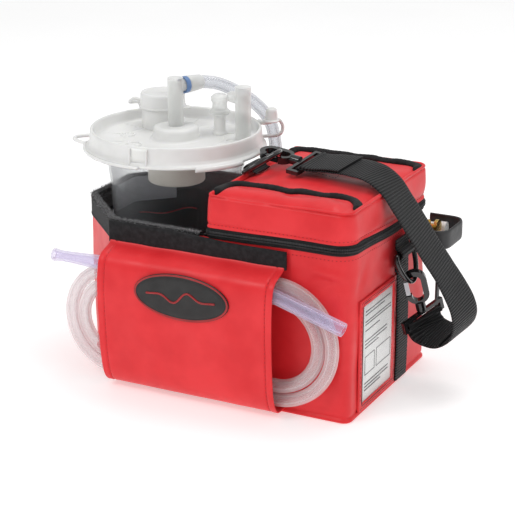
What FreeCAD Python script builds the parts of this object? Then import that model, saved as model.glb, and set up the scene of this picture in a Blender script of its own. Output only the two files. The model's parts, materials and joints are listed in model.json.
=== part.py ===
import FreeCAD, Part
import math
import os
import re

import Sketcher

App = FreeCAD
V = App.Vector

os.makedirs("parts", exist_ok=True)
doc = FreeCAD.newDocument("SuctionPump")

# Driving dimensions, in millimetres. +X runs right along the front, +Y back, +Z up.
# The origin is the middle of the bag's footprint, on the floor.
DIMS = {
    # carrying case
    "BagLength": 278, "BagDepth": 170, "BagHeight": 144, "ShellWall": 3, "CornerCut": 45, "FrontCut": 57,
    "LidLeft": 9.5, "LidBottom": 150, "LidTop": 179, "BeadHeight": 2.9, "SeamGap": 0.1,
    "SliderDrop": 3, "DividerLeft": 3.2, "DividerThick": 3, "LiningWall": 1.5, "PanelThick": 1.5,
    "RimBandBottom": 127, "RimBandTop": 146.5, "RimBandThick": 1.3,
    # front flap over the tubing
    "FlapLeft": -82, "FlapRight": 82, "FlapFoot": 4, "FlapReach": 26, "BadgeWidth": 89,
    "BadgeHeight": 40, "BadgeThick": 2.2, "BadgeLift": 97, "BadgeMiddle": -1,
    # suction tubing, coiled flat behind the flap
    "TubeOuter": 11.5, "CoilMiddle": 64, "CoilRadius": 51, "CoilPitch": 12.4,
    "CoilLeft": -77, "CoilRight": 75.5, "TipOuter": 12, "TipBore": 8,
    "LeftTipLength": 51, "RightTipLength": 71, "RightTipLevel": 110.5,
    # webbing, rings and snap hooks
    "WebWide": 38, "WebNarrow": 25, "WebThick": 1.8, "RingWire": 2.2, "RingDepth": 26,
    "HookThick": 6, "HookWidth": 20, "HookLength": 40, "HookHole": 10, "LoopLength": 11,
    "LoopBar": 3.6, "LoopWidth": 48, "GateThick": 3.6,
    # collection canister
    "CupX": -74.5, "CupY": 13, "CupBottom": 12, "CupTop": 186, "CupFootRadius": 52,
    "CupTopRadius": 60, "CupWall": 2, "FlangeRadius": 80.4, "FlangeBottom": 187,
    "CapLidRingTop": 205, "CapLidFloor": 194.5, "CapLidRing": 76, "CapLidWall": 3,
    "HousingRadius": 25.5, "HousingBottom": 156, "TurretRadius": 20.5, "TurretTop": 206,
    "FloatRadius": 9,
    "ElbowRadius": 7, "ElbowBore": 4.6, "VacuumTop": 249, "VacuumArm": 241,
    "HoseOuter": 11.5, "PatientX": -19, "PatientY": 35, "PatientTop": 242,
    "PatientArm": 231, "SpigotRadius": 5.5, "SpigotTop": 216,
    "PourX": -105.5, "PourY": 44, "PourRadius": 19, "PourCapRadius": 20.5,
    "PourTop": 227, "TandemX": -46, "TandemY": 42,
    # pump module inside the main compartment
    "TrayLeft": 12, "TrayLength": 120, "TrayDepth": 158, "TrayFloor": 6, "TrayHeight": 100,
    "TrayWall": 2.5, "BatteryLength": 98, "BatteryDepth": 50,
    "BatteryHeight": 92, "MotorX": 74, "MotorZ": 40, "MotorRadius": 19, "MotorLength": 58,
    "MotorBack": 70, "ShaftRadius": 2.5, "CrankOffset": 3, "CrankRadius": 7,
    "HeadBottom": 74, "KnobX": 100, "KnobY": -48, "KnobRadius": 13,
    "GaugeX": 48, "GaugeY": -46, "GaugeRadius": 22, "ScrewRadius": 2,
    "RunClear": 0.06,
}

sheet = doc.addObject("Spreadsheet::Sheet", "Dims")
for row, (alias, value) in enumerate(DIMS.items(), start=1):
    sheet.set("A%d" % row, alias)
    sheet.set("B%d" % row, str(value))
    sheet.setAlias("B%d" % row, alias)
doc.recompute()

ALIASES = re.compile(r"\b(%s)\b" % "|".join(DIMS))
SUBPARTS = []


def size(alias):
    return float(getattr(sheet, alias))


def bind(obj, prop, expression):
    """Ties a property to the sheet; bare alias names in the expression mean its cells."""
    obj.setExpression(prop, ALIASES.sub(r"Dims.\1", str(expression)))


def at(obj, x="0", y="0", z="0", rotation=None):
    obj.Placement = App.Placement(V(0, 0, 0), rotation or App.Rotation())
    for axis, value in (("x", x), ("y", y), ("z", z)):
        bind(obj, "Placement.Base." + axis, value)
    return obj


def named(obj, label):
    obj.Label = label
    SUBPARTS.append(obj)
    return obj


def box(name, corner, sides):
    obj = doc.addObject("Part::Box", name)
    for prop, value in zip(("Length", "Width", "Height"), sides):
        bind(obj, prop, value)
    return at(obj, *corner)


TURN = {
    "x": App.Rotation(V(0, 1, 0), 90),
    "y": App.Rotation(V(1, 0, 0), -90),
    "z": App.Rotation(),
}


def rod(name, base, radius, length, along="z"):
    obj = doc.addObject("Part::Cylinder", name)
    bind(obj, "Radius", radius)
    bind(obj, "Height", length)
    return at(obj, *base, rotation=TURN[along])


def fuse(name, *shapes):
    obj = doc.addObject("Part::MultiFuse", name)
    obj.Shapes = list(shapes)
    return obj


def cut(name, base, *tools):
    obj = doc.addObject("Part::Cut", name)
    obj.Base = base
    obj.Tool = tools[0] if len(tools) == 1 else fuse(name + "_tools", *tools)
    return obj


def common(name, base, tool):
    obj = doc.addObject("Part::Common", name)
    obj.Base = base
    obj.Tool = tool
    return obj


def group(name, *shapes):
    """Separate solids kept side by side in one node."""
    obj = doc.addObject("Part::Compound", name)
    obj.Links = list(shapes)
    return obj


def shaped(name, shape):
    obj = doc.addObject("Part::Feature", name)
    obj.Shape = shape
    return obj


def sketch_on(body, role):
    plane = [f for f in body.Origin.OriginFeatures if f.Role == role][0]
    sketch = body.newObject("Sketcher::SketchObject", body.Name + "_sketch")
    sketch.AttachmentSupport = [(plane, "")]
    sketch.MapMode = "FlatFace"
    return sketch


def closed_outline(sketch, corners):
    """A closed polygon whose corners are pairs of expressions, each one a bound constraint."""
    count = len(corners)
    rough = [V(10 + 5 * i, 3 * i * i, 0) for i in range(count)]
    for i in range(count):
        sketch.addGeometry(Part.LineSegment(rough[i], rough[(i + 1) % count]), False)
    for i in range(count):
        after = (i + 1) % count
        sketch.addConstraint(Sketcher.Constraint("Coincident", i, 2, after, 1))
    for i, corner in enumerate(corners):
        for kind, value in zip(("DistanceX", "DistanceY"), corner):
            number = sketch.addConstraint(Sketcher.Constraint(kind, -1, 1, i, 1, 1.0))
            bind(sketch, "Constraints[%d]" % number, value)


def prism(name, corners, height, z="0", rotation=None, x="0", y="0"):
    body = doc.addObject("PartDesign::Body", name)
    sketch = sketch_on(body, "XY_Plane")
    closed_outline(sketch, corners)
    pad = body.newObject("PartDesign::Pad", name + "_pad")
    pad.Profile = sketch
    bind(pad, "Length", height)
    return at(body, x, y, z, rotation)


def turned(name, corners, x="0", y="0", z="0", rotation=None):
    """A solid turned about its own Z axis; each corner is (radius, height)."""
    body = doc.addObject("PartDesign::Body", name)
    sketch = sketch_on(body, "XZ_Plane")
    closed_outline(sketch, corners)
    spin = body.newObject("PartDesign::Revolution", name + "_turn")
    spin.Profile = sketch
    spin.ReferenceAxis = (sketch, ["V_Axis"])
    spin.Angle = 360
    return at(body, x, y, z, rotation)


def round_bar(points, across):
    """A round bar swept along a smooth line through points."""
    curve = Part.BSplineCurve()
    curve.interpolate(points)
    start = curve.tangent(curve.FirstParameter)[0]
    ring = Part.Wire([Part.Circle(points[0], start, across / 2).toShape()])
    return Part.Wire([curve.toShape()]).makePipeShell([ring], True, True)


def straight_tube(start, end, outer, bore):
    along = end - start
    solid = Part.makeCylinder(outer / 2, along.Length, start, along)
    return solid.cut(Part.makeCylinder(bore / 2, along.Length, start, along))


def ribbon(points, across, width, thick, steps):
    """Flat webbing along a smooth line through points, its width along the matching across way."""
    middle = Part.BSplineCurve()
    middle.interpolate(points)
    rails = []
    for i in range(steps + 1):
        share = i / steps
        here = middle.FirstParameter + share * (middle.LastParameter - middle.FirstParameter)
        run = middle.tangent(here)[0]
        step = min(int(share * (len(across) - 1)), len(across) - 2)
        side = across[step] + (across[step + 1] - across[step]) * (share * (len(across) - 1) - step)
        side = (side - run * side.dot(run)).normalize()
        up = side.cross(run)
        corners = [
            middle.value(here) + side * (a * width / 2) + up * (b * thick / 2)
            for a, b in ((1, 1), (-1, 1), (-1, -1), (1, -1))
        ]
        rails.append(Part.makePolygon(corners + corners[:1]))
    return Part.makeLoft(rails, True, True)


# ---------------------------------------------------------------- carrying case

HALF_BAG_DEPTH = size("BagDepth") / 2
HALF_L = "BagLength/2"
HALF_D = "BagDepth/2"


def case_outline(inset):
    """Plan of the case: square right end, cut-off corners at the canister end."""
    left = "-(%s - (%s))" % (HALF_L, inset)
    right = "(%s - (%s))" % (HALF_L, inset)
    side = "(%s - (%s))" % (HALF_D, inset)

    def cut_corner(alias):
        along = "(-%s + %s + (%s)*tan(22.5))" % (HALF_L, alias, inset)
        across = "(%s - %s - (%s)*tan(22.5))" % (HALF_D, alias, inset)
        return along, across

    back_x, back_y = cut_corner("CornerCut")
    front_x, front_y = cut_corner("FrontCut")
    return [
        (right, "-" + side), (right, side), (back_x, side), (left, back_y),
        (left, "-" + front_y), (front_x, "-" + side),
    ]


def lid_outline(inset):
    left = "LidLeft + %s" % inset
    right = "%s - (%s)" % (HALF_L, inset)
    side = "(%s - (%s))" % (HALF_D, inset)
    return [(left, "-" + side), (right, "-" + side), (right, side), (left, side)]


def build_case():
    outer = prism("case_outer", case_outline("0"), "BagHeight")
    hollow = prism("case_hollow", case_outline("ShellWall"), "BagHeight", "ShellWall")
    named(cut("bag_shell_cut", outer, hollow), "bag_shell")

    lining = prism("lining_outer", case_outline("ShellWall + 0.05"), "BagHeight - ShellWall", "ShellWall")
    lining_hollow = prism("lining_hollow", case_outline("ShellWall + 0.05 + LiningWall"),
                          "BagHeight", "ShellWall + LiningWall")
    keep = box("lining_keep", ("-BagLength", "-BagDepth", "0"),
               ("BagLength + DividerLeft - 0.05", "2*BagDepth", "2*BagHeight"))
    keep_hollow = box("lining_keep_hollow", ("-BagLength", "-BagDepth", "0"),
                      ("BagLength + DividerLeft - LiningWall", "2*BagDepth", "2*BagHeight"))
    sleeve = common("lining_block", lining, keep)
    room = common("lining_room", lining_hollow, keep_hollow)
    named(cut("pocket_lining_cut", sleeve, room), "pocket_lining")

    inner_side = "(%s - ShellWall - 0.1)" % HALF_D
    named(box("divider", ("DividerLeft", "-" + inner_side, "ShellWall + 0.05"),
              ("DividerThick", "2*" + inner_side, "BagHeight - ShellWall")), "divider_wall")

    band = prism("band_outer", case_outline("-RimBandThick"), "RimBandTop - RimBandBottom", "RimBandBottom")
    band_bag = prism("band_bag", case_outline("-0.05"), "BagHeight + 0.1 - RimBandBottom", "RimBandBottom")
    band_mouth = prism("band_mouth", case_outline("ShellWall + LiningWall"), "BagHeight", "BagHeight")
    band_right = box("band_right", ("DividerLeft", "-BagDepth", "RimBandBottom - 1"),
                     ("BagLength", "2*BagDepth", "BagHeight"))
    named(cut("pocket_rim_cut", band, band_bag, band_mouth, band_right), "pocket_rim_band")

    bead = prism("bead_low", lid_outline("-1"), "BeadHeight", "BagHeight + SeamGap")
    bead_hole = prism("bead_low_hole", lid_outline("6"), "BeadHeight + 2", "BagHeight - 1")
    named(cut("zipper_lower_cut", bead, bead_hole), "zipper_lower")


def build_lid():
    outer = prism("lid_outer", lid_outline("0"), "LidTop - LidBottom", "LidBottom + SeamGap")
    hollow = prism("lid_hollow", lid_outline("ShellWall"), "LidTop - LidBottom - ShellWall", "LidBottom")
    named(cut("bag_lid_cut", outer, hollow), "bag_lid")

    bead = prism("bead_high", lid_outline("-1"), "BeadHeight", "LidBottom - BeadHeight")
    bead_hole = prism("bead_high_hole", lid_outline("6"), "BeadHeight + 2", "LidBottom - BeadHeight - 1")
    named(cut("zipper_upper_cut", bead, bead_hole), "zipper_upper")

    top = size("LidTop") + size("SeamGap")
    radius = 2.6
    right = size("BagLength") / 2
    half = size("BagDepth") / 2
    height = top + radius + 0.1

    def cord(ends):
        return round_bar([V(x, y, height) for x, y in ends], 2 * radius)

    front = cord([(14, 10 - half), (12, 37 - half), (24, 42 - half), (70, 42 - half),
                  (108, 44 - half), (118, 40 - half), (128, 24 - half)])
    back = cord([(12, half - 12), (16, half - 5), (40, half - 4), (110, half - 4),
                 (126, half - 8), (131, half - 20)])
    named(shaped("lid_piping_cords", Part.makeCompound([front, back])), "lid_piping")


# ---------------------------------------------------------------- front flap and badge

def flap_profile():
    """Side section of the flap, foot to top, then back along the inside."""
    reach = "(%s + FlapReach)" % HALF_D
    face = "(%s + 1.6)" % HALF_D
    outside = [
        (face, "FlapFoot"), ("%s - 12" % reach, "FlapFoot + 0.5"), ("%s - 3" % reach, "FlapFoot + 14"),
        (reach, "FlapFoot + 34"), (reach, "FlapFoot + 108"), ("%s - 2" % reach, "RimBandBottom - 6"),
        ("%s - 12" % reach, "RimBandBottom - 1.5"), (face + " + PanelThick", "RimBandBottom"),
    ]
    inside = [
        (face, "RimBandBottom - 1.5"), ("%s - 12.5" % reach, "RimBandBottom - 3.2"),
        ("%s - 3.2" % reach, "RimBandBottom - 7.4"), ("%s - PanelThick" % reach, "FlapFoot + 107.5"),
        ("%s - PanelThick" % reach, "FlapFoot + 34.4"), ("%s - 4.5" % reach, "FlapFoot + 14.8"),
        ("%s - 12.5" % reach, "FlapFoot + 2"), (face, "FlapFoot + 1.5"),
    ]
    return [("-(%s)" % y, z) for y, z in outside + inside]


def build_flap():
    upright = App.Rotation(V(1, 1, 1), 120)
    panel = prism("flap_panel", flap_profile(), "FlapRight - FlapLeft", x="FlapLeft", rotation=upright)
    named(panel, "front_flap")
    named(box("flap_band", ("FlapLeft", "-(%s + 3.1)" % HALF_D, "RimBandBottom + 0.1"),
              ("FlapRight - FlapLeft", "PanelThick", "RimBandTop - RimBandBottom - 1")), "flap_hook_band")
    oval = doc.addObject("Part::Ellipse", "badge_edge")
    bind(oval, "MajorRadius", "BadgeWidth/2")
    bind(oval, "MinorRadius", "BadgeHeight/2")
    at(oval, "BadgeMiddle", "-(%s + FlapReach)" % HALF_D, "BadgeLift", App.Rotation(V(1, 0, 0), 90))
    badge = doc.addObject("Part::Extrusion", "badge_plate")
    badge.Base = oval
    badge.Dir = V(0, -1, 0)
    badge.Solid = True
    bind(badge, "LengthFwd", "BadgeThick")
    named(badge, "badge")


# ---------------------------------------------------------------- suction tubing

def bend(start, start_way, end, end_way):
    """One smooth edge that leaves and arrives along the given directions."""
    curve = Part.BSplineCurve()
    reach = (end - start).Length
    curve.interpolate(Points=[start, end], InitialTangent=start_way * reach, FinalTangent=end_way * reach)
    return curve.toShape()


def coil_edges(layer):
    """Flat oblong spiral of half circles joined by straight runs, from the outside in."""
    left = size("CoilLeft")
    right = size("CoilRight")
    height = size("CoilMiddle") + size("CoilRadius")
    here = V(left + 45, layer, height)
    edges = []
    for half_turn in range(4):
        radius = size("CoilRadius") - half_turn * size("CoilPitch") / 2
        outward = 1 if half_turn % 2 == 0 else -1
        x = right if outward > 0 else left
        begin = V(x, layer, here.z)
        end = V(x, layer, here.z - outward * 2 * radius)
        middle = V(x + outward * radius, layer, (begin.z + end.z) / 2)
        edges += [Part.LineSegment(here, begin).toShape(), Part.Arc(begin, middle, end).toShape()]
        here = end
    return edges, here


def build_tubing():
    outer = size("TubeOuter")
    rear = -(HALF_BAG_DEPTH + outer / 2 + 0.3)
    front = rear - outer - 0.3
    level = V(1, 0, 0)
    tip_way = V(66.5, 0, -20).normalize()
    left_end = V(size("CoilLeft") - 3, front, size("CoilMiddle") + size("CoilRadius") - 3)
    right_end = V(size("CoilRight") - 2, front, size("RightTipLevel"))
    coil, inner_end = coil_edges(rear)
    lead_in = bend(left_end, level, coil[0].Vertexes[0].Point, level)
    lead_out = bend(inner_end, level, right_end, tip_way)
    path = Part.Wire([lead_in] + coil + [lead_out])
    ring = Part.Wire([Part.Circle(left_end, level, outer / 2).toShape()])
    named(shaped("tubing_sweep", path.makePipeShell([ring], True, False)), "suction_tubing")
    left_tip = straight_tube(left_end - level * 0.1, left_end - level * size("LeftTipLength"),
                             size("TipOuter"), size("TipBore"))
    right_tip = straight_tube(right_end + tip_way * 0.1, right_end + tip_way * size("RightTipLength"),
                              size("TipOuter"), size("TipBore"))
    named(shaped("tip_sleeves", Part.makeCompound([left_tip, right_tip])), "tube_tips")


# ---------------------------------------------------------------- end wall fittings

def build_end_wall():
    wall = "(%s + 0.05)" % HALF_L
    named(box("end_strap", (wall, "12", "2"), ("WebThick", "WebNarrow", "RimBandTop - 17")), "end_webbing")
    named(box("card", (wall, "-59", "9"), ("0.4", "65", "87")), "label_card")
    pane = box("pane", ("%s + 0.45" % wall, "-66", "5"), ("0.8", "73", "95"))
    named(pane, "label_window")

    rail = box("guard_block", (wall, "38.5", "118"), ("34", "50", "16.5"))
    room = box("guard_room", ("BagLength/2 - 1", "41", "117"), ("32.5", "45", "20"))
    guard = cut("guard_cut", rail, room)

    brass_a = turned("brass_a", [("0.2", "0"), ("5", "0"), ("5", "3"), ("3", "3"), ("3", "13.5"),
                                 ("7", "13.5"), ("7", "16.5"), ("0.2", "16.5")],
                     wall, "66.3", "129", TURN["x"])
    brass_b = turned("brass_b", [("0.2", "0"), ("5", "0"), ("5", "3"), ("2.5", "3"), ("2.5", "8"),
                                 ("5.5", "8"), ("5.5", "12"), ("0.2", "12")],
                     wall, "53", "134", TURN["x"])
    named(group("brass_pair", brass_a, brass_b), "brass_fittings")
    named(turned("white_cap", [("0.2", "0"), ("4", "0"), ("4", "13"), ("5.5", "13"), ("5.5", "19"),
                               ("0.2", "19")], wall, "79.5", "125", TURN["x"]), "white_port_cap")

    grip = box("grip_block", (wall, "78", "34"), ("13", "6", "76"))
    gap = box("grip_gap", ("BagLength/2 - 1", "77", "39"), ("11", "8", "66"))
    named(group("bracket_pair", guard, cut("grip_cut", grip, gap)), "end_brackets")

    nut = turned("nut", [("3.2", "0"), ("7", "0"), ("7", "2"), ("5", "3"), ("5", "8"), ("3.2", "8")],
                 wall, "62", "30", TURN["x"])
    named(nut, "switch_nut")
    lever = turned("lever", [("0.1", "1"), ("2", "1"), ("2", "9"), ("3", "17"), ("2.6", "19"),
                             ("0.1", "19")], wall, "62", "30", TURN["x"])
    named(lever, "toggle_lever")


# ---------------------------------------------------------------- rings, hooks and strap

def ring_shape(width, depth, wire):
    """A D ring in its own XY plane: straight bar along Y at X = 0, bow towards +X."""
    half = width / 2
    points = [V(0, -half + 4, 0), V(2, -half, 0), V(depth * 0.45, -half + 1, 0),
              V(depth, 0, 0), V(depth * 0.45, half - 1, 0), V(2, half, 0), V(0, half - 4, 0)]
    bow = round_bar(points, 2 * wire)
    bar = Part.makeCylinder(wire, width - 4, V(0, -half + 2, 0), V(0, 1, 0))
    return bow.fuse(bar).removeSplitter()


def frame_from(start, run, across):
    length = V(run).normalize()
    side = V(across)
    side = (side - length * side.dot(length)).normalize()
    return App.Placement(start, App.Rotation(length, side, length.cross(side), "XYZ"))


def hook_shapes():
    """Snap hook in its own frame: nose at the origin, strap end towards +X, gate on -Y."""
    thick = size("HookThick")
    width = size("HookWidth")
    length = size("HookLength")
    hole = size("HookHole")
    barrel_start = length - 8

    def slot(x0, x1, half, high):
        ends = Part.makeCylinder(half, high, V(x0 + half, 0, -high / 2))
        far = Part.makeCylinder(half, high, V(x1 - half, 0, -high / 2))
        middle = Part.makeBox(x1 - x0 - 2 * half, 2 * half, high, V(x0 + half, -half, -high / 2))
        return ends.fuse(far).fuse(middle)

    body = slot(0, barrel_start, width / 2, thick)
    body = body.cut(slot(4.6, barrel_start - 3, hole / 2, 2 * thick))
    opening = Part.makeBox(barrel_start - 18, width / 2, 2 * thick, V(9, -width, -thick))
    opening.translate(V(0, width / 2 - hole / 2 + 1, 0))
    body = body.cut(opening)
    barrel = Part.makeCylinder(4.4, 8.5, V(barrel_start - 1, 0, 0), V(1, 0, 0))
    socket = Part.makeCylinder(2.2, 5, V(length - 3.5, 0, 0), V(1, 0, 0))
    body = body.fuse(barrel).cut(socket).removeSplitter()

    gate = Part.makeBox(barrel_start - 19.2, size("GateThick"), thick - 1.4,
                        V(9.3, -width / 2 + 0.3, -(thick - 1.4) / 2))

    bar = size("LoopBar")
    outer = size("LoopWidth")
    start = length + 0.3
    deep = size("LoopLength")
    frame = Part.makeBox(deep, outer, bar, V(start, -outer / 2, -bar / 2))
    window = Part.makeBox(deep - 2 * 3, outer - 2 * bar, 2 * bar, V(start + 3, -outer / 2 + bar, -bar))
    pin = Part.makeCylinder(2.1, 4, V(start - 3.3, 0, 0), V(1, 0, 0))
    loop = frame.cut(window).fuse(pin).removeSplitter()
    return body, gate, loop


LEFT_NOSE = V(8.2, 17, 191.8)
LEFT_RUN = V(56, -6, -5.2)
RIGHT_NOSE = V(152.3, 15.2, 105)
RIGHT_RUN = V(6, 11.5, -42)
STRAP_GAP = 3.4


def build_hooks():
    for side, nose, run, hook_across, loop_across in (
        ("left", LEFT_NOSE, LEFT_RUN, V(0, 1, 0.12), V(0, 1, 0.12)),
        ("right", RIGHT_NOSE, RIGHT_RUN, V(0.9, 0.43, 0), V(0.4, 0.92, 0)),
    ):
        body, gate, loop = hook_shapes()
        hook_frame = frame_from(nose, run, hook_across)
        loop_frame = frame_from(nose, run, loop_across)
        for label, shape, frame in (("hook_" + side, body, hook_frame), ("gate_" + side, gate, hook_frame),
                                    ("hook_loop_" + side, loop, loop_frame)):
            piece = named(shaped(label + "_solid", shape), label)
            piece.Placement = frame


def build_rings():
    wire = size("RingWire")
    left = shaped("ring_left", ring_shape(44, size("RingDepth"), wire))
    left.Placement = frame_from(V(13, -6, 184), V(0.82, 0, 0.57), V(0, 1, 0))
    named(left, "d_ring_left")
    right = shaped("ring_right", ring_shape(36, size("RingDepth"), wire))
    right.Placement = frame_from(V(144.4, 14, 121), V(0.35, 0, -0.94), V(0, 1, 0))
    named(right, "d_ring_right")

    narrow = size("WebNarrow")
    thick = size("WebThick")

    def tab(label, points, middle):
        path = [V(x, middle, z) for x, z in points]
        sheet_tab = ribbon(path, [V(0, 1, 0)] * len(path), narrow, thick, 40)
        named(shaped(label + "_solid", sheet_tab), label)

    tab("left_web_tab", [(8.3, 158), (8.3, 170), (8.3, 181), (9.3, 186), (13, 188), (16.7, 186),
                         (17.6, 183), (20, 181.6), (25, 181), (32, 181)], -6)
    tab("right_web_tab", [(142, 134), (142, 129), (142.6, 126), (146, 124.6), (148.3, 121.5),
                          (146.4, 117.6), (143, 115.8), (142, 112), (142, 106)], 14)


STRAP_MIDDLE = (
    (66, 9.8, 189.3), (84, 8, 191.2), (106, 4, 192.2), (124, -1, 190.5), (139, -4, 182.5), (150, -4, 168.5),
    (161, -2, 151.5), (172.5, 2, 131.5), (184.2, 6, 112.6), (194.5, 10, 93.5), (199.8, 13, 79),
    (200.3, 16, 66), (195, 19, 54.5), (184, 22, 47.5), (171.2, 25, 47), (163.5, 27, 49.6),
)


def hook_end(nose, run):
    return nose + V(run).normalize() * (size("HookLength") + size("LoopLength") + STRAP_GAP)


def build_strap():
    middle = [V(*p) for p in STRAP_MIDDLE]
    points = [hook_end(LEFT_NOSE, LEFT_RUN)] + middle + [hook_end(RIGHT_NOSE, RIGHT_RUN)]
    last = len(points) - 1
    turn_start = 11
    flat = V(0, 1, 0)
    left_way = V(0, 1, 0.12)
    right_way = V(0.38, 0.88, 0.29)
    across = [flat + (left_way - flat) * (max(0, 3 - i) / 3)
              + (right_way - flat) * (max(0, i - turn_start) / (last - turn_start)) for i in range(last + 1)]
    strap = ribbon(points, across, size("WebWide"), size("WebThick"), 90)
    named(shaped("strap_sweep", strap), "shoulder_strap")


# ---------------------------------------------------------------- collection canister

def build_canister():
    here = ("CupX", "CupY")
    wall = "CupWall"
    named(turned("cup_turn", [
        ("0.01", "CupBottom"), ("CupFootRadius", "CupBottom"), ("CupTopRadius", "CupTop"),
        ("CupTopRadius + 4", "CupTop"), ("CupTopRadius + 4", "CupTop + 3"),
        ("CupTopRadius - %s" % wall, "CupTop + 3"), ("CupFootRadius - %s" % wall, "CupBottom + %s" % wall),
        ("0.01", "CupBottom + %s" % wall)], *here), "canister_cup")
    named(turned("gasket_turn", [
        ("CupTopRadius - 1", "CupTop + 3.05"), ("CupTopRadius + 3.5", "CupTop + 3.05"),
        ("CupTopRadius + 3.5", "CupTop + 5"), ("CupTopRadius - 1", "CupTop + 5")], *here), "lid_gasket")

    plate = turned("plate_turn", [
        ("10.2", "CapLidFloor - 2.4"), ("CupTopRadius + 4.3", "CapLidFloor - 2.4"),
        ("CupTopRadius + 4.3", "FlangeBottom + 2"), ("CapLidRing", "FlangeBottom + 2"),
        ("CapLidRing", "FlangeBottom"), ("FlangeRadius", "FlangeBottom"),
        ("FlangeRadius", "FlangeBottom + 2.2"), ("CapLidRing + 1.2", "FlangeBottom + 3.6"),
        ("CapLidRing", "CapLidRingTop"), ("CapLidRing - CapLidWall", "CapLidRingTop"),
        ("CapLidRing - CapLidWall", "CapLidFloor"), ("TurretRadius + 0.6", "CapLidFloor"),
        ("TurretRadius", "CapLidFloor + 1"), ("TurretRadius", "TurretTop - 3"),
        ("TurretRadius - 4", "TurretTop"), ("ElbowBore + 0.1", "TurretTop"),
        ("ElbowBore + 0.1", "TurretTop - 2.5"), ("10.2", "TurretTop - 2.5")], *here)
    pour_neck = rod("pour_neck", ("PourX", "PourY", "CapLidFloor - 1"), "PourRadius",
                    "PourTop - 4 - CapLidFloor")
    pour_bore = rod("pour_bore", ("PourX", "PourY", "CapLidFloor - 10"), "PourRadius - 2.5", "60")
    tandem = rod("tandem_post", ("TandemX", "TandemY", "CapLidFloor - 1"), "5", "SpigotTop - CapLidFloor")
    tandem_bore = rod("tandem_bore", ("TandemX", "TandemY", "CapLidFloor - 10"), "3", "60")
    patient = rod("patient_spigot", ("PatientX", "PatientY", "CapLidFloor - 1"), "SpigotRadius - 1.08",
                  "SpigotTop - CapLidFloor")
    patient_bore = rod("patient_bore", ("PatientX", "PatientY", "CapLidFloor - 10"), "3", "60")
    spout = rod("vacuum_spout", ("CupX", "CupY", "TurretTop - 2"), "ElbowBore - 0.1", "10")
    spout_bore = rod("spout_bore", ("CupX", "CupY", "TurretTop - 4"), "3", "14")
    solid = fuse("lid_solid", plate, pour_neck, tandem, patient, spout)
    lid = cut("canister_lid_cut", solid, pour_bore, tandem_bore, patient_bore, spout_bore)
    named(lid, "canister_lid")

    named(turned("housing_turn", [
        ("HousingRadius", "CapLidFloor - 2.5"), ("HousingRadius", "HousingBottom"), ("12", "HousingBottom"),
        ("12", "HousingBottom + 2"), ("HousingRadius - 2", "HousingBottom + 2"),
        ("HousingRadius - 2", "CapLidFloor - 2.5")], *here), "filter_housing")
    named(turned("float_turn", [
        ("0.01", "HousingBottom + 3"), ("FloatRadius", "HousingBottom + 3"),
        ("FloatRadius", "HousingBottom + 14"), ("3", "HousingBottom + 16"),
        ("2.5", "HousingBottom + 19"), ("0.01", "HousingBottom + 19")], *here), "shutoff_float")


def elbow(label, x, y, foot, top, arm, direction, reach, bore_radius):
    """A push-on elbow: upright barrel, closed at the top, with one side branch."""
    radius = size("ElbowRadius")
    centre = V(x, y, 0)
    barrel = Part.makeCylinder(radius, top - foot, centre + V(0, 0, foot))
    branch = Part.makeCone(radius - 1, radius - 2.2, reach, centre + V(0, 0, arm), direction)
    inside = Part.makeCylinder(bore_radius, arm + 3.8 - foot, centre + V(0, 0, foot))
    duct = Part.makeCylinder(3, reach + 1, centre + V(0, 0, arm), direction)
    solid = barrel.fuse(branch).cut(inside).cut(duct).removeSplitter()
    named(shaped(label + "_solid", solid), label)


VACUUM_WAY = V(0.37, 0.929, 0)
PATIENT_WAY = V(-0.968, 0.251, 0)


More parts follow.
